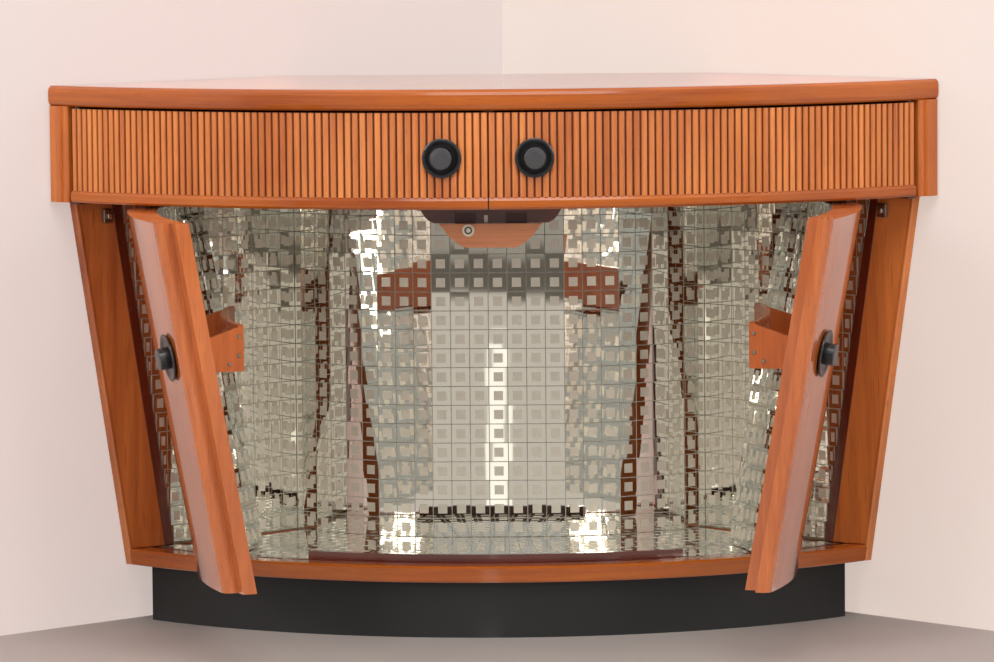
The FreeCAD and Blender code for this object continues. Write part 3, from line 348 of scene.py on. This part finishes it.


# each slip has its own random tone, and painted shade darkens it into the grooves beside it
def addReeding(material):
    tree = material.node_tree
    shader = tree.nodes["Principled BSDF"]
    grain = shader.inputs["Base Color"].links[0].from_socket
    bow = placeGroup(tree, bowMap, {"Radius": 1.0 / math.radians(reeding["slip"])})
    along = splitAxes(tree, bow.outputs["Vector"])[0]
    chance = tree.nodes.new("ShaderNodeTexWhiteNoise")
    chance.noise_dimensions = "1D"
    tree.links.new(mathNode(tree, "FLOOR", along), chance.inputs["W"])
    aside = mathNode(tree, "ABSOLUTE", mathNode(tree, "SUBTRACT", mathNode(tree, "FRACT", along), 0.5))
    # painted shade: the slip's colour darkens towards the grooves on both sides
    paintedGrooveShade = rangeNode(tree, aside, reeding["grooveShadeRange"], smooth=True)
    shadeAmount = mathNode(tree, "MULTIPLY", chance.outputs["Value"], reeding["shadeShare"])
    shade = mixColours(tree, shadeAmount, grain, reeding["shadeColour"], "MULTIPLY")
    tree.links.new(mixColours(tree, paintedGrooveShade, shade, reeding["grooveShadeColour"]), shader.inputs["Base Color"])


plainSpread = {"detail": 4, "smoothest": 0.8, "roughest": 1.25, "coatRoughness": 0.05}


# one colour with a faint unevenness in shade and polish
def plainMaterial(name, colour, roughness, metallic=0.0, coat=0.0, spread=0.12, scale=60.0):
    material, tree, shader = blankMaterial(name)
    noise = tree.nodes.new("ShaderNodeTexNoise")
    noise.inputs["Scale"].default_value = scale
    noise.inputs["Detail"].default_value = plainSpread["detail"]
    tree.links.new(objectPlace(tree), noise.inputs["Vector"])
    darker = (*[c * (1 - spread) for c in colour], 1)
    lighter = (*[min(1, c * (1 + spread)) for c in colour], 1)
    tree.links.new(mixColours(tree, noise.outputs["Fac"], darker, lighter), shader.inputs["Base Color"])
    limits = {"To Min": roughness * plainSpread["smoothest"],
              "To Max": min(1.0, roughness * plainSpread["roughest"])}
    tree.links.new(rangeNode(tree, noise.outputs["Fac"], limits), shader.inputs["Roughness"])
    shader.inputs["Metallic"].default_value = metallic
    shader.inputs["Coat Weight"].default_value = coat
    shader.inputs["Coat Roughness"].default_value = plainSpread["coatRoughness"]
    return material


# mirrored squares on a door's hollow side
def mosaicMaterial(name, centre):
    material, tree, shader = blankMaterial(name)
    bow = placeGroup(tree, bowMap, {"Centre X": centre[0], "Centre Y": centre[1]})
    squares = placeGroup(tree, mosaic, {"Vector": bow.outputs["Vector"]})
    frosted, joint = squares.outputs["Frosted"], squares.outputs["Joint"]
    glass = mixColours(tree, frosted, squareLook["clearColour"], squareLook["frostedColour"])
    tree.links.new(mixColours(tree, joint, glass, squareLook["jointColour"]), shader.inputs["Base Color"])
    dull = mathNode(tree, "MAXIMUM", frosted, joint)
    lost = mathNode(tree, "MULTIPLY", dull, squareLook["lostSilver"])
    tree.links.new(mathNode(tree, "SUBTRACT", 1.0, lost), shader.inputs["Metallic"])
    added = mathNode(tree, "MULTIPLY", dull, squareLook["addedRoughness"])
    tree.links.new(mathNode(tree, "ADD", added, squareLook["roughness"]), shader.inputs["Roughness"])
    addRelief(tree, shader, squares.outputs["Height"], 1.0, squareLook["leanDistance"])
    return material


faceTones = {"light": (0.64, 0.175, 0.038), "dark": (0.37, 0.080, 0.014)}
woods = {
    "reedWood": {"light": (0.86, 0.31, 0.080), "dark": (0.50, 0.130, 0.028), "grain": "y", "fineness": 1.2,
                 "figure": 0.55, "coat": 0.55, "seed": 1, "centre": cornerLine,
                 "radius": plan["frontRadius"]},
    "railWood": {"light": (0.54, 0.134, 0.009), "dark": (0.29, 0.053, 0.004), "grain": "x", "fineness": 0.8,
                 "figure": 0.5, "coat": 0.35, "seed": 2, "centre": cornerLine, "radius": plan["frontRadius"]},
    # panelWood is a dark wood whose darkness is partly painted shade for the gaps between the reeds in front
    # of it
    "panelWood": {"light": (0.16, 0.035, 0.012), "dark": (0.08, 0.015, 0.006), "grain": "x", "fineness": 1,
                  "figure": 0.4, "coat": 0.3, "seed": 3, "centre": cornerLine, "radius": plan["frontRadius"]},
    "uprightWood": {"light": (0.68, 0.20, 0.036), "dark": (0.40, 0.090, 0.014), "grain": "z", "fineness": 1,
                    "figure": 0.5, "coat": 0.35, "seed": 4},
    "topWood": {**faceTones, "grain": "x", "fineness": 0.5, "figure": 0.6, "coat": 1.0, "seed": 5},
    "sideWood": {**faceTones, "grain": "z", "fineness": 0.6, "figure": 0.6, "coat": 1.0, "seed": 6},
    "leftDoorWood": {**faceTones, "grain": "y", "fineness": 0.7, "figure": 0.6, "coat": 1.0, "seed": 7,
                     "centre": leftDoorCentre},
    "rightDoorWood": {**faceTones, "grain": "y", "fineness": 0.7, "figure": 0.6, "coat": 1.0, "seed": 8,
                      "centre": rightDoorCentre},
    "jambWood": {"light": (0.82, 0.27, 0.062), "dark": (0.26, 0.048, 0.010), "grain": "z", "fineness": 0.35,
                 "figure": 1.8, "coat": 1.0, "seed": 9},
    # lipWood is a dark wood, and on the recessed shelf bracket its darkness is partly painted shade
    "lipWood": {"light": (0.16, 0.026, 0.010), "dark": (0.055, 0.008, 0.005), "grain": "x", "fineness": 1,
                "figure": 0.5, "coat": 1.0, "seed": 10, "centre": cornerLine, "radius": 0.85},
    "leafWood": {"light": (0.74, 0.30, 0.135), "dark": (0.50, 0.168, 0.071), "grain": "x", "fineness": 1,
                 "figure": 0.4, "coat": 0.4, "seed": 11},
    "plyWood": {"light": (0.52, 0.34, 0.18), "dark": (0.36, 0.21, 0.10), "grain": "x", "fineness": 1,
                "figure": 0.3, "coat": 0.0, "seed": 12, "roughness": 0.6},
    "plinthPaint": {"light": (0.006, 0.006, 0.006), "dark": (0.003, 0.003, 0.003), "grain": "x",
                    "fineness": 1, "figure": 0.3, "coat": 0.0, "seed": 13, "centre": cornerLine,
                    "radius": 0.88, "roughness": 0.55},
    "holderWood": {"light": (0.56, 0.135, 0.024), "dark": (0.34, 0.068, 0.010), "grain": "z", "fineness": 0.8,
                   "figure": 0.6, "coat": 0.2, "seed": 14},
    "beadWood": {"light": (0.22, 0.034, 0.012), "dark": (0.09, 0.013, 0.006), "grain": "z", "fineness": 1,
                 "figure": 0.5, "coat": 0.8, "seed": 15},
}
plainLooks = {
    "blackGloss": {"colour": (0.008, 0.008, 0.009), "roughness": 0.30, "coat": 0.25, "scale": 40},
    "greyDome": {"colour": (0.050, 0.050, 0.053), "roughness": 0.34, "coat": 0.2, "scale": 90},
    "nickel": {"colour": (0.62, 0.60, 0.56), "roughness": 0.22, "metallic": 1.0, "scale": 200},
    "agedNickel": {"colour": (0.30, 0.26, 0.21), "roughness": 0.35, "metallic": 1.0, "spread": 0.4,
                   "scale": 220},
    "darkSteel": {"colour": (0.10, 0.085, 0.075), "roughness": 0.42, "metallic": 0.9, "scale": 150},
    "clearMirror": {"colour": (0.81, 0.785, 0.70), "roughness": 0.02, "metallic": 1.0, "spread": 0.04,
                    "scale": 30},
    "frostedMirror": {"colour": (0.80, 0.745, 0.63), "roughness": 0.38, "metallic": 0.40, "spread": 0.06,
                      "scale": 25},
    "lockRing": {"colour": (0.78, 0.68, 0.55), "roughness": 0.42, "metallic": 0.4, "spread": 0.08,
                 "scale": 200},
    # as dark as the shelf bracket, so partly painted shade
    "hingePaint": {"colour": (0.075, 0.014, 0.008), "roughness": 0.42, "coat": 0.3, "scale": 60},
    "groundEdge": {"colour": (0.60, 0.57, 0.48), "roughness": 0.5, "spread": 0.1, "scale": 80},
    "stripGlass": {"colour": (0.80, 0.80, 0.80), "roughness": 0.10, "metallic": 1.0, "spread": 0.05,
                   "scale": 30},
    "joinPaste": {"colour": (0.48, 0.45, 0.38), "roughness": 0.7},
}
finish = {name: woodMaterial(name, **look) for name, look in woods.items()}
finish.update({name: plainMaterial(name, **look) for name, look in plainLooks.items()})
addReeding(finish["reedWood"])

# which nodes wear which finish all over
dressing = {
    "plinthPaint": ("plinth_front", "plinth_boards", "plinth_rib"),
    "railWood": ("bottom_rail", "top_moulding", "upper_rail_left", "upper_rail_right"),
    "uprightWood": ("end_stile_left", "end_stile_right"),
    "reedWood": ("upper_reeds_left", "upper_reeds_right"),
    "panelWood": ("upper_panel_left", "upper_panel_right"),
    "topWood": ("top_board",),
    "sideWood": ("side_panel_left", "side_panel_right", "upper_sides"),
    "leftDoorWood": ("lower_door_left", "lower_stile_left"),
    "rightDoorWood": ("lower_door_right", "lower_stile_right"),
    "holderWood": ("holder_left", "holder_right"),
    "jambWood": ("edge_strip_left", "edge_strip_right"),
    "lipWood": ("floor_lip", "shelf_bracket", "divider_board"),
    "leafWood": ("shelf_leaf",),
    "plyWood": ("back_panel", "upper_back", "upper_partition"),
    "joinPaste": ("carcass_floor",),
    "stripGlass": ("sill_strip",),
    "blackGloss": ("upper_rosette_left", "upper_rosette_right", "lower_rosette_left", "lower_rosette_right"),
    "agedNickel": ("holder_screws_left", "holder_screws_right"),
    "darkSteel": ("pivot_plates", "upper_pivot_left", "upper_pivot_right", "lower_pivot_left",
                  "lower_pivot_right"),
}


def dress(name, *looks):
    mesh = nodes[name].data
    mesh.materials.clear()
    for look in looks:
        mesh.materials.append(finish[look])
    return mesh


for look, names in dressing.items():
    for name in names:
        dress(name, look)


# the side of a door that faces its bow's centre is laid with squares
def lineDoor(name, centre, squares):
    mesh = nodes[name].data
    mesh.materials.append(squares)
    for face in mesh.polygons:
        inward = (Vector(centre) - face.center.xy).normalized()
        if face.normal.xy.dot(inward) > squareLook["facing"]:
            face.material_index = 1


lineDoor("lower_door_left", leftDoorCentre, mosaicMaterial("leftDoorSquares", leftDoorCentre))
lineDoor("lower_door_right", rightDoorCentre, mosaicMaterial("rightDoorSquares", rightDoorCentre))


endFacing = 0.6              # faces turned this much along the knob's axis belong to its grey end


# black turned sides and a grey end
def dressButton(name):
    mesh = dress(name, "blackGloss", "greyDome")
    axis = max(mesh.polygons, key=lambda f: f.area).normal.copy()
    for face in mesh.polygons:
        face.material_index = int(abs(face.normal.dot(axis)) > endFacing)


for name in ("upper_button_left", "upper_button_right", "lower_button_left", "lower_button_right"):
    dressButton(name)


lock = {"x": -0.037, "z": 0.690, "front": -0.3005, "hollow": 0.0064, "core": 0.0043}
strike = {"left": -0.0112, "right": -0.0048, "foot": 0.7015}


# the lock on the leaf: a pale ring round a dark hollow
def dressLock():
    mesh = dress("leaf_fittings", "nickel", "lockRing", "darkSteel")
    for face in mesh.polygons:
        if face.center.y < lock["front"]:
            away = math.hypot(face.center.x - lock["x"], face.center.z - lock["z"])
            face.material_index = 2 if lock["core"] < away < lock["hollow"] else 1


# the strike plate is bright, the flaps are as dark as their bracket, partly painted shade like it
def dressHinge():
    mesh = dress("shelf_hinge", "hingePaint", "lockRing")
    for face in mesh.polygons:
        inside = all(strike["left"] < mesh.vertices[v].co.x < strike["right"] for v in face.vertices)
        face.material_index = int(inside and face.center.z > strike["foot"])


dressLock()
dressHinge()
print("finishes set")


# a place given by its distance from the corner line and from the wall
def wallPoint(hand, along, off):
    return hand * (along - off) / math.sqrt(2), plan["cornerBack"] - (along + off) / math.sqrt(2)


# how far the leaning front stands from the corner line at a height
def leanAt(z):
    slope = (plan["headRadius"] - plan["footRadius"]) / (plan["ceilingZ"] - plan["footZ"])
    return plan["footRadius"] + (z - plan["footZ"]) * slope


def clearSelection():
    bpy.ops.object.select_all(action="DESELECT")


def block(size):
    clearSelection()
    bpy.ops.mesh.primitive_cube_add(size=1, location=(0, 0, 0))
    made = bpy.context.object
    made.dimensions = size
    bpy.ops.object.transform_apply(location=False, rotation=False, scale=True)
    return made


def soften(piece, width):
    bevel = piece.modifiers.new("arris", "BEVEL")
    bevel.width = width
    bevel.segments = 3
    bpy.ops.object.modifier_apply(modifier="arris")


# loose parts become one named piece of the carcass in place of a plain one
def fitted(parts, name, replaced):
    clearSelection()
    for part in parts:
        part.select_set(True)
    bpy.context.view_layer.objects.active = parts[0]
    if len(parts) > 1:
        bpy.ops.object.join()
    made = bpy.context.object
    made.name = name
    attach(made, "carcass")
    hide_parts(replaced)


jamb = {
    "footZ": 0.1243,
    "headZ": 0.7307,
    "step": 0.008,
    "edgeStart": 0.0514,
    "reach": 0.070,
    "beadReach": 0.0935,
    "edgeWidth": 0.0146,
    "wallWidth": 0.0183,
    "innerWidth": 0.0272,
    "arris": 0.0012,
    "beadGap": 0.0003,
    "beadStep": 0.001,
    "beadRise": 0.0055,
    "beadArris": 0.002,
}


# an upright board that follows the lean, from an outline of (behind the front edge, off the wall)
def leaningBoard(hand, outline, look, arris):
    clearSelection()
    bpy.ops.mesh.primitive_cylinder_add(vertices=len(outline), radius=1, depth=1, end_fill_type="NGON")
    board = bpy.context.object
    for corner in board.data.vertices:
        turn = math.atan2(corner.co.y, corner.co.x) / math.tau * len(outline)
        back, off = outline[round(turn) % len(outline)]
        z = jamb["headZ"] if corner.co.z > 0 else jamb["footZ"]
        corner.co = (*wallPoint(hand, leanAt(z) - back, off), z)
    bpy.ops.object.mode_set(mode="EDIT")
    bpy.ops.mesh.select_all(action="SELECT")
    bpy.ops.mesh.normals_make_consistent(inside=False)
    bpy.ops.object.mode_set(mode="OBJECT")
    soften(board, arris)
    board.data.materials.append(finish[look])
    return board


# the polished face runs from the front arris to the bead at the wall
def jambBoard(hand, side):
    reach, start, wall = jamb["reach"], jamb["edgeStart"], jamb["wallWidth"]
    outline = [(jamb["step"], jamb["edgeWidth"]), (reach, jamb["innerWidth"]), (reach, wall), (start, wall),
               (start, jamb["edgeWidth"])]
    board = leaningBoard(hand, outline, "jambWood", jamb["arris"])
    fitted([board], "jambBoard" + side, "jamb_" + side.lower())


def jambBeads():
    start, end, wall = jamb["reach"] + jamb["beadGap"], jamb["beadReach"], jamb["wallWidth"]
    outline = [(start, jamb["innerWidth"] - jamb["beadStep"]), (end, wall + jamb["beadRise"]), (end, wall),
               (start, wall)]
    beads = [leaningBoard(hand, outline, "beadWood", jamb["beadArris"]) for hand in (-1, 1)]
    fitted(beads, "jambBeads", "jamb_beads")


# size, distance off the board's face and finish of the case and its sprung ball
catch = {
    "back": 0.056,
    "z": 0.703,
    "rounding": 0.3,
    "case": ((0.020, 0.007, 0.024), 0.0035, "agedNickel"),
    "ball": ((0.009, 0.006, 0.009), 0.0085, "nickel"),
}


# a case with a sprung ball, screwed high on each jamb
def jambCatches():
    parts = []
    share = (catch["back"] - jamb["step"]) / (jamb["reach"] - jamb["step"])
    face = jamb["edgeWidth"] + (jamb["innerWidth"] - jamb["edgeWidth"]) * share
    for hand in (-1, 1):
        for size, out, look in (catch["case"], catch["ball"]):
            part = block(size)
            soften(part, min(size) * catch["rounding"])
            x, y = wallPoint(hand, leanAt(catch["z"]) - catch["back"], face + out)
            turned = Matrix.Rotation(-hand * math.pi / 4, 4, "Z")
            part.data.transform(Matrix.Translation((x, y, catch["z"])) @ turned)
            part.data.materials.append(finish[look])
            parts.append(part)
    fitted(parts, "jambCatches", "jamb_catches")


jambBoard(-1, "Left")
jambBoard(1, "Right")
jambBeads()
jambCatches()
print("jamb boards made")


tile = {
    "pitch": 0.0331,
    "joint": 0.0003,
    "glass": 0.004,
    "chamfer": 0.0006,
    "chamferSlope": 0.6,
    "border": 0.235,         # clear border round the frosted middle, as a share of the side
    "tilt": 0.5,             # most that a square leans, in degrees
    "flatTilt": 0.12,
    "floorTilt": 0.25,
    "faceY": 0.120,
    "flat": 7,               # columns in the flat middle of the back
    "turns": (15, 15.5, 16, 28.5, 29.5, 31, 35, 39, 43, 47),
    "footZ": 0.1238,
    "headZ": 0.7304,
    "wallInset": 0.0228,
    "sideInset": 0.0223,
    "beadGap": 0.0004,
    "leastTurned": 0.006,    # slivers under these widths are left out
    "leastSide": 0.005,
    "leastRow": 0.004,
    "frontFacing": -0.99,    # faces that turn further from the front are ground edges
}


def frontFace(piece):
    return min(piece.data.polygons, key=lambda f: (round(f.center.y, 6), math.hypot(f.center.x, f.center.z)))


# leaves the piece in edit mode with the inset face selected
def insetFront(piece, thickness):
    bpy.ops.object.mode_set(mode="EDIT")
    bpy.ops.mesh.select_mode(type="FACE")
    bpy.ops.mesh.select_all(action="DESELECT")
    bpy.ops.object.mode_set(mode="OBJECT")
    frontFace(piece).select = True
    bpy.ops.object.mode_set(mode="EDIT")
    bpy.ops.mesh.inset(thickness=thickness, depth=0)


# one square: chamfered edges ground matt, a clear border and a frosted middle
def modelTile():
    side = tile["pitch"] - tile["joint"]
    piece = block((side, tile["glass"], side))
    for look in ("clearMirror", "frostedMirror", "groundEdge"):
        piece.data.materials.append(finish[look])
    insetFront(piece, tile["chamfer"])
    bpy.ops.object.mode_set(mode="OBJECT")
    inner = set(frontFace(piece).vertices)
    for corner in piece.data.vertices:
        if corner.co.y < 0 and corner.index not in inner:
            corner.co.y += tile["chamfer"] * tile["chamferSlope"]
    insetFront(piece, side * tile["border"])
    piece.active_material_index = 1
    bpy.ops.object.material_slot_assign()
    bpy.ops.object.mode_set(mode="OBJECT")
    for face in piece.data.polygons:
        if face.normal.y > tile["frontFacing"]:
            face.material_index = 2
    return piece


# copies of the square, each leaning its own way, joined into one piece
def laid(pattern, spots, name, replaced, tilt):
    copies = []
    for place, size in spots:
        copy = pattern.copy()
        copy.data = pattern.data.copy()
        copy.data.transform(Matrix.Diagonal((*size, 1)))
        most = tilt(place.translation) if callable(tilt) else tilt
        lean = [math.radians(random.uniform(-most, most)) for _ in range(2)]
        wobble = Matrix.Rotation(lean[0], 4, "X") @ Matrix.Rotation(lean[1], 4, "Z")
        copy.data.transform(place @ wobble)
        bpy.context.scene.collection.objects.link(copy)
        copies.append(copy)
    fitted(copies, name, replaced)


# corner points of the mirrored face, seen from above, left to right
def facetLine():
    half = [(tile["pitch"] * tile["flat"] / 2, tile["faceY"])]
    for turn in tile["turns"]:
        angle = math.radians(turn)
        x, y = half[-1]
        left = plan["cornerBack"] - y - x - tile["wallInset"] * math.sqrt(2)
        run = min(tile["pitch"], left / (math.cos(angle) + math.sin(angle)))
        if run < tile["leastTurned"]:
            break
        half.append((x + run * math.cos(angle), y + run * math.sin(angle)))
    return [(-x, y) for x, y in reversed(half)] + half


def rowHeights():
    rows = []
    z = tile["footZ"]
    while z < tile["headZ"] - tile["leastRow"]:
        tall = min(tile["pitch"], tile["headZ"] - z)
        rows.append((z + tall / 2, tall))
        z += tile["pitch"]
    return rows


# where one square stands on an upright face, and the shares of its sides that are left after cutting;
# a place that mirrors its square takes a mirrored one, so that its faces still point outwards
def uprightSpot(start, along, inward, column, wide, z, tall, hand=0):
    middle = column * tile["pitch"] + wide / 2
    x = start[0] + along[0] * middle - inward[0] * tile["glass"] / 2
    y = start[1] + along[1] * middle - inward[1] * tile["glass"] / 2
    facing = Matrix(((along[0], -inward[0], 0), (along[1], -inward[1], 0), (0, 0, 1))).to_4x4()
    if hand > 0:
        facing = facing @ Matrix.Diagonal((-1, 1, 1, 1))
    full = tile["pitch"] - tile["joint"]
    turn = -1 if facing.determinant() < 0 else 1
    shares = (turn * (wide - tile["joint"]) / full, 1, (tall - tile["joint"]) / full)
    return Matrix.Translation((x, y, z)) @ facing, shares


# the flat middle is laid truer than the turned columns
def backTilt(place):
    middle = abs(place.x) < tile["pitch"] * tile["flat"] / 2
    return tile["flatTilt"] if middle else tile["tilt"]


def layBack(pattern):
    line = facetLine()
    spots = []
    for (xa, ya), (xb, yb) in zip(line, line[1:]):
        length = math.hypot(xb - xa, yb - ya)
        along = ((xb - xa) / length, (yb - ya) / length)
        for column in range(max(1, round(length / tile["pitch"]))):
            wide = min(tile["pitch"], length - column * tile["pitch"])
            for z, tall in rowHeights():
                spots.append(uprightSpot((xa, ya), along, (along[1], -along[0]), column, wide, z, tall))
    laid(pattern, spots, "backTiles", "back_mirrors", backTilt)


drumBoard = {"thick": 0.004, "gap": 0.0005}


# the folded board that carries the back's squares
def foldBoard():
    line = facetLine()
    tall = tile["headZ"] - tile["footZ"]
    back = tile["glass"] + drumBoard["gap"] + drumBoard["thick"] / 2
    boards = []
    for (xa, ya), (xb, yb) in zip(line, line[1:]):
        board = block((math.hypot(xb - xa, yb - ya), drumBoard["thick"], tall))
        angle = math.atan2(yb - ya, xb - xa)
        middle = ((xa + xb) / 2 - math.sin(angle) * back, (ya + yb) / 2 + math.cos(angle) * back,
                  tile["footZ"] + tall / 2)
        board.data.transform(Matrix.Translation(middle) @ Matrix.Rotation(angle, 4, "Z"))
        board.data.materials.append(finish["joinPaste"])
        boards.append(board)
    fitted(boards, "drumBoard", "back_drum")


# squares run from the drum forwards, and the last column follows the leaning jamb
def laySide(pattern, hand, side):
    x, y = facetLine()[-1]
    behind = (x + plan["cornerBack"] - y) / math.sqrt(2)
    along = (hand * math.sqrt(0.5), -math.sqrt(0.5))
    inward = (-hand * math.sqrt(0.5), -math.sqrt(0.5))
    start = (behind * along[0] + tile["sideInset"] * inward[0],
             plan["cornerBack"] + behind * along[1] + tile["sideInset"] * inward[1])
    spots = []
    for z, tall in rowHeights():
        reach = leanAt(z - tall / 2) - jamb["beadReach"] - tile["beadGap"] - behind
        column = 0
        while reach - column * tile["pitch"] > tile["leastSide"]:
            wide = min(tile["pitch"], reach - column * tile["pitch"])
            spots.append(uprightSpot(start, along, inward, column, wide, z, tall, hand))
            column += 1
    laid(pattern, spots, "sideTiles" + side, "side_mirror_" + side.lower(), tile["tilt"])


# the floor's squares lie in rings behind the sill strip, up to under the back's foot
floorLay = {
    "sillRadius": 0.8502,
    "innerRadius": 0.42,
    "spread": 43.3,
    "drop": 0.0003,
    "wallShare": 0.45,
    "backShare": 0.5,
}


def floorBack(x):
    line = facetLine()
    for (xa, ya), (xb, yb) in zip(line, line[1:]):
        if xa <= x <= xb:
            return ya + (yb - ya) * (x - xa) / (xb - xa)
    return plan["cornerBack"] - abs(x)


def layFloor(pattern):
    pitch, sill = tile["pitch"], floorLay["sillRadius"]
    middleZ = tile["footZ"] - floorLay["drop"] - tile["glass"] / 2
    lying = Matrix(((1, 0, 0), (0, 0, 1), (0, -1, 0))).to_4x4()
    count = int(math.radians(floorLay["spread"]) / (pitch / sill))
    spots = []
    for ring in range(int((sill - floorLay["innerRadius"]) / pitch)):
        radius = sill - (ring + 0.5) * pitch
        for column in range(-count, count + 1):
            angle = column * (pitch / sill)
            x = radius * math.sin(angle)
            y = plan["cornerBack"] - radius * math.cos(angle)
            offWall = (plan["cornerBack"] - y - abs(x)) / math.sqrt(2)
            inWall = offWall < tile["wallInset"] + pitch * floorLay["wallShare"]
            if inWall or y > floorBack(x) + pitch * floorLay["backShare"]:
                continue
            turned = Matrix.Rotation(angle, 4, "Z")
            spots.append((Matrix.Translation((x, y, middleZ)) @ turned @ lying, (radius / sill, 1, 1)))
    laid(pattern, spots, "floorTiles", "floor_mirror", tile["floorTilt"])


square = modelTile()
layBack(square)
foldBoard()
laySide(square, -1, "Left")
laySide(square, 1, "Right")
layFloor(square)
bpy.data.objects.remove(square)
print("mirrored squares laid")


room = {
    "wallReach": 6.0,
    "wallHeight": 5.0,
    "floorReach": 14.0,
    "wallGap": 0.004,
    "wallColour": (0.83, 0.755, 0.735),
    # painted light: for the camera each wall glows in its own tone, the right wall the brighter
    "leftGlow": (0.845, 0.71, 0.665),
    "rightGlow": (0.955, 0.80, 0.71),
    "glowShare": 0.6,
    "floorColour": (0.45, 0.41, 0.385),
}


def stagePlane(name, corners, material):
    clearSelection()
    bpy.ops.mesh.primitive_plane_add(size=1, location=(0, 0, 0))
    made = bpy.context.object
    made.name = name
    first, second, third, fourth = corners
    for corner, place in zip(made.data.vertices, (first, second, fourth, third)):
        corner.co = place
    made.data.materials.append(material)


# painted light: a glowing backdrop shader that only rays of one kind see, mixed over the painted one
def overlay(material, ray, share, colour):
    tree = material.node_tree
    glow = tree.nodes.new("ShaderNodeEmission")
    feed(tree, colour, glow.inputs["Color"])
    path = tree.nodes.new("ShaderNodeLightPath")
    blend = tree.nodes.new("ShaderNodeMixShader")
    tree.links.new(mathNode(tree, "MULTIPLY", path.outputs[ray], share), blend.inputs[0])
    wire(tree, tree.nodes["Principled BSDF"], 0, blend, 1)
    wire(tree, glow, 0, blend, 2)
    wire(tree, blend, 0, tree.nodes["Material Output"], "Surface")


studio = {
    "reach": 14.0,           # distance that the tones are spread over
    "near": (0.62, 0.575, 0.53, 1),
    "far": (0.34, 0.32, 0.29, 1),
    "dark": (0.13, 0.115, 0.10, 1),
    "nearEnd": 0.475,
    "darkStart": 0.495,
    "darkEnd": 0.60,
    "farStart": 0.63,
    # painted light: the strip glows brighter than white
    "stripColour": (1.25, 1.22, 1.15, 1),
    "stripBend": 0.02514,
    "stripHalf": 0.018,
    "stripEnd": 5.4,
    "stripSpread": 8.75,
}


# painted reflection of the studio floor that only the mirrors see: pale nearby, dark further off, with one
# glowing strip of painted light
def studioFloor(tree):
    x, y = splitAxes(tree, objectPlace(tree))[:2]
    away = mathNode(tree, "SUBTRACT", tile["faceY"], y)
    ramp = tree.nodes.new("ShaderNodeValToRGB")
    tree.links.new(mathNode(tree, "DIVIDE", away, studio["reach"]), ramp.inputs["Fac"])
    ramp.color_ramp.elements[0].color = studio["near"]
    ramp.color_ramp.elements[1].color = studio["far"]
    for spot, tone in (("nearEnd", "near"), ("darkStart", "dark"), ("darkEnd", "dark"), ("farStart", "far")):
        ramp.color_ramp.elements.new(studio[spot]).color = studio[tone]
    # the painted strip of light runs straight towards the eye, as wide as one square
    shift = mathNode(tree, "ADD", x, mathNode(tree, "MULTIPLY", away, studio["stripBend"]))
    widening = mathNode(tree, "ADD", mathNode(tree, "DIVIDE", away, studio["stripSpread"]), 1.0)
    aside = mathNode(tree, "ABSOLUTE", mathNode(tree, "DIVIDE", shift, widening))
    inside = mathNode(tree, "LESS_THAN", aside, studio["stripHalf"])
    strip = mathNode(tree, "MULTIPLY", inside, mathNode(tree, "LESS_THAN", away, studio["stripEnd"]))
    return mixColours(tree, strip, ramp.outputs[0], studio["stripColour"])


def buildRoom():
    back = plan["cornerBack"] + room["wallGap"]
    reach, high, wide = room["wallReach"], room["wallHeight"], room["floorReach"]
    near, corner = back - reach, (0, back, 0)
    walls = {"left": [corner, (-reach, near, 0), (-reach, near, high), (0, back, high)],
             "right": [(0, back, high), (reach, near, high), (reach, near, 0), corner]}
    for side, corners in walls.items():
        paint = plainMaterial(side + "WallPaint", room["wallColour"], 0.75, spread=0.02, scale=3)
        overlay(paint, "Is Camera Ray", room["glowShare"], (*room[side + "Glow"], 1))
        stagePlane(side + "Wall", corners, paint)
    floorPaint = plainMaterial("floorPaint", room["floorColour"], 0.5, spread=0.03, scale=5)
    overlay(floorPaint, "Is Glossy Ray", 1.0, studioFloor(floorPaint.node_tree))
    stagePlane("floor", [(-wide, -wide, 0), (wide, -wide, 0), (wide, wide, 0), (-wide, wide, 0)], floorPaint)


buildRoom()


lampAim = (0, 0, 0.5)
lamps = {
    "above": {"place": (0.3, -3.2, 4.2), "size": 3.0, "power": 130, "colour": (1.0, 0.97, 0.94)},
    "left": {"place": (-3.2, -5.0, 2.4), "size": 1.6, "power": 70, "colour": (1.0, 0.96, 0.93)},
    "right": {"place": (3.4, -5.4, 2.2), "size": 1.6, "power": 45, "colour": (1.0, 0.97, 0.95)},
}
sky = {"colour": (0.86, 0.87, 0.88, 1), "strength": 0.55}


def hangLamp(name, place, size, power, colour):
    light = bpy.data.lights.new(name, "AREA")
    light.shape = "SQUARE"
    light.size = size
    light.energy = power
    light.color = colour
    lamp = bpy.data.objects.new(name, light)
    bpy.context.scene.collection.objects.link(lamp)
    lamp.location = place
    lamp.rotation_euler = (Vector(lampAim) - lamp.location).to_track_quat("-Z", "Y").to_euler()


for name, values in lamps.items():
    hangLamp(name, **values)

world = bpy.data.worlds.new("world")
bpy.context.scene.world = world
world.use_nodes = True
world.node_tree.nodes["Background"].inputs["Color"].default_value = sky["colour"]
world.node_tree.nodes["Background"].inputs["Strength"].default_value = sky["strength"]
bpy.context.scene.view_settings.view_transform = "Standard"
print("room and light set")
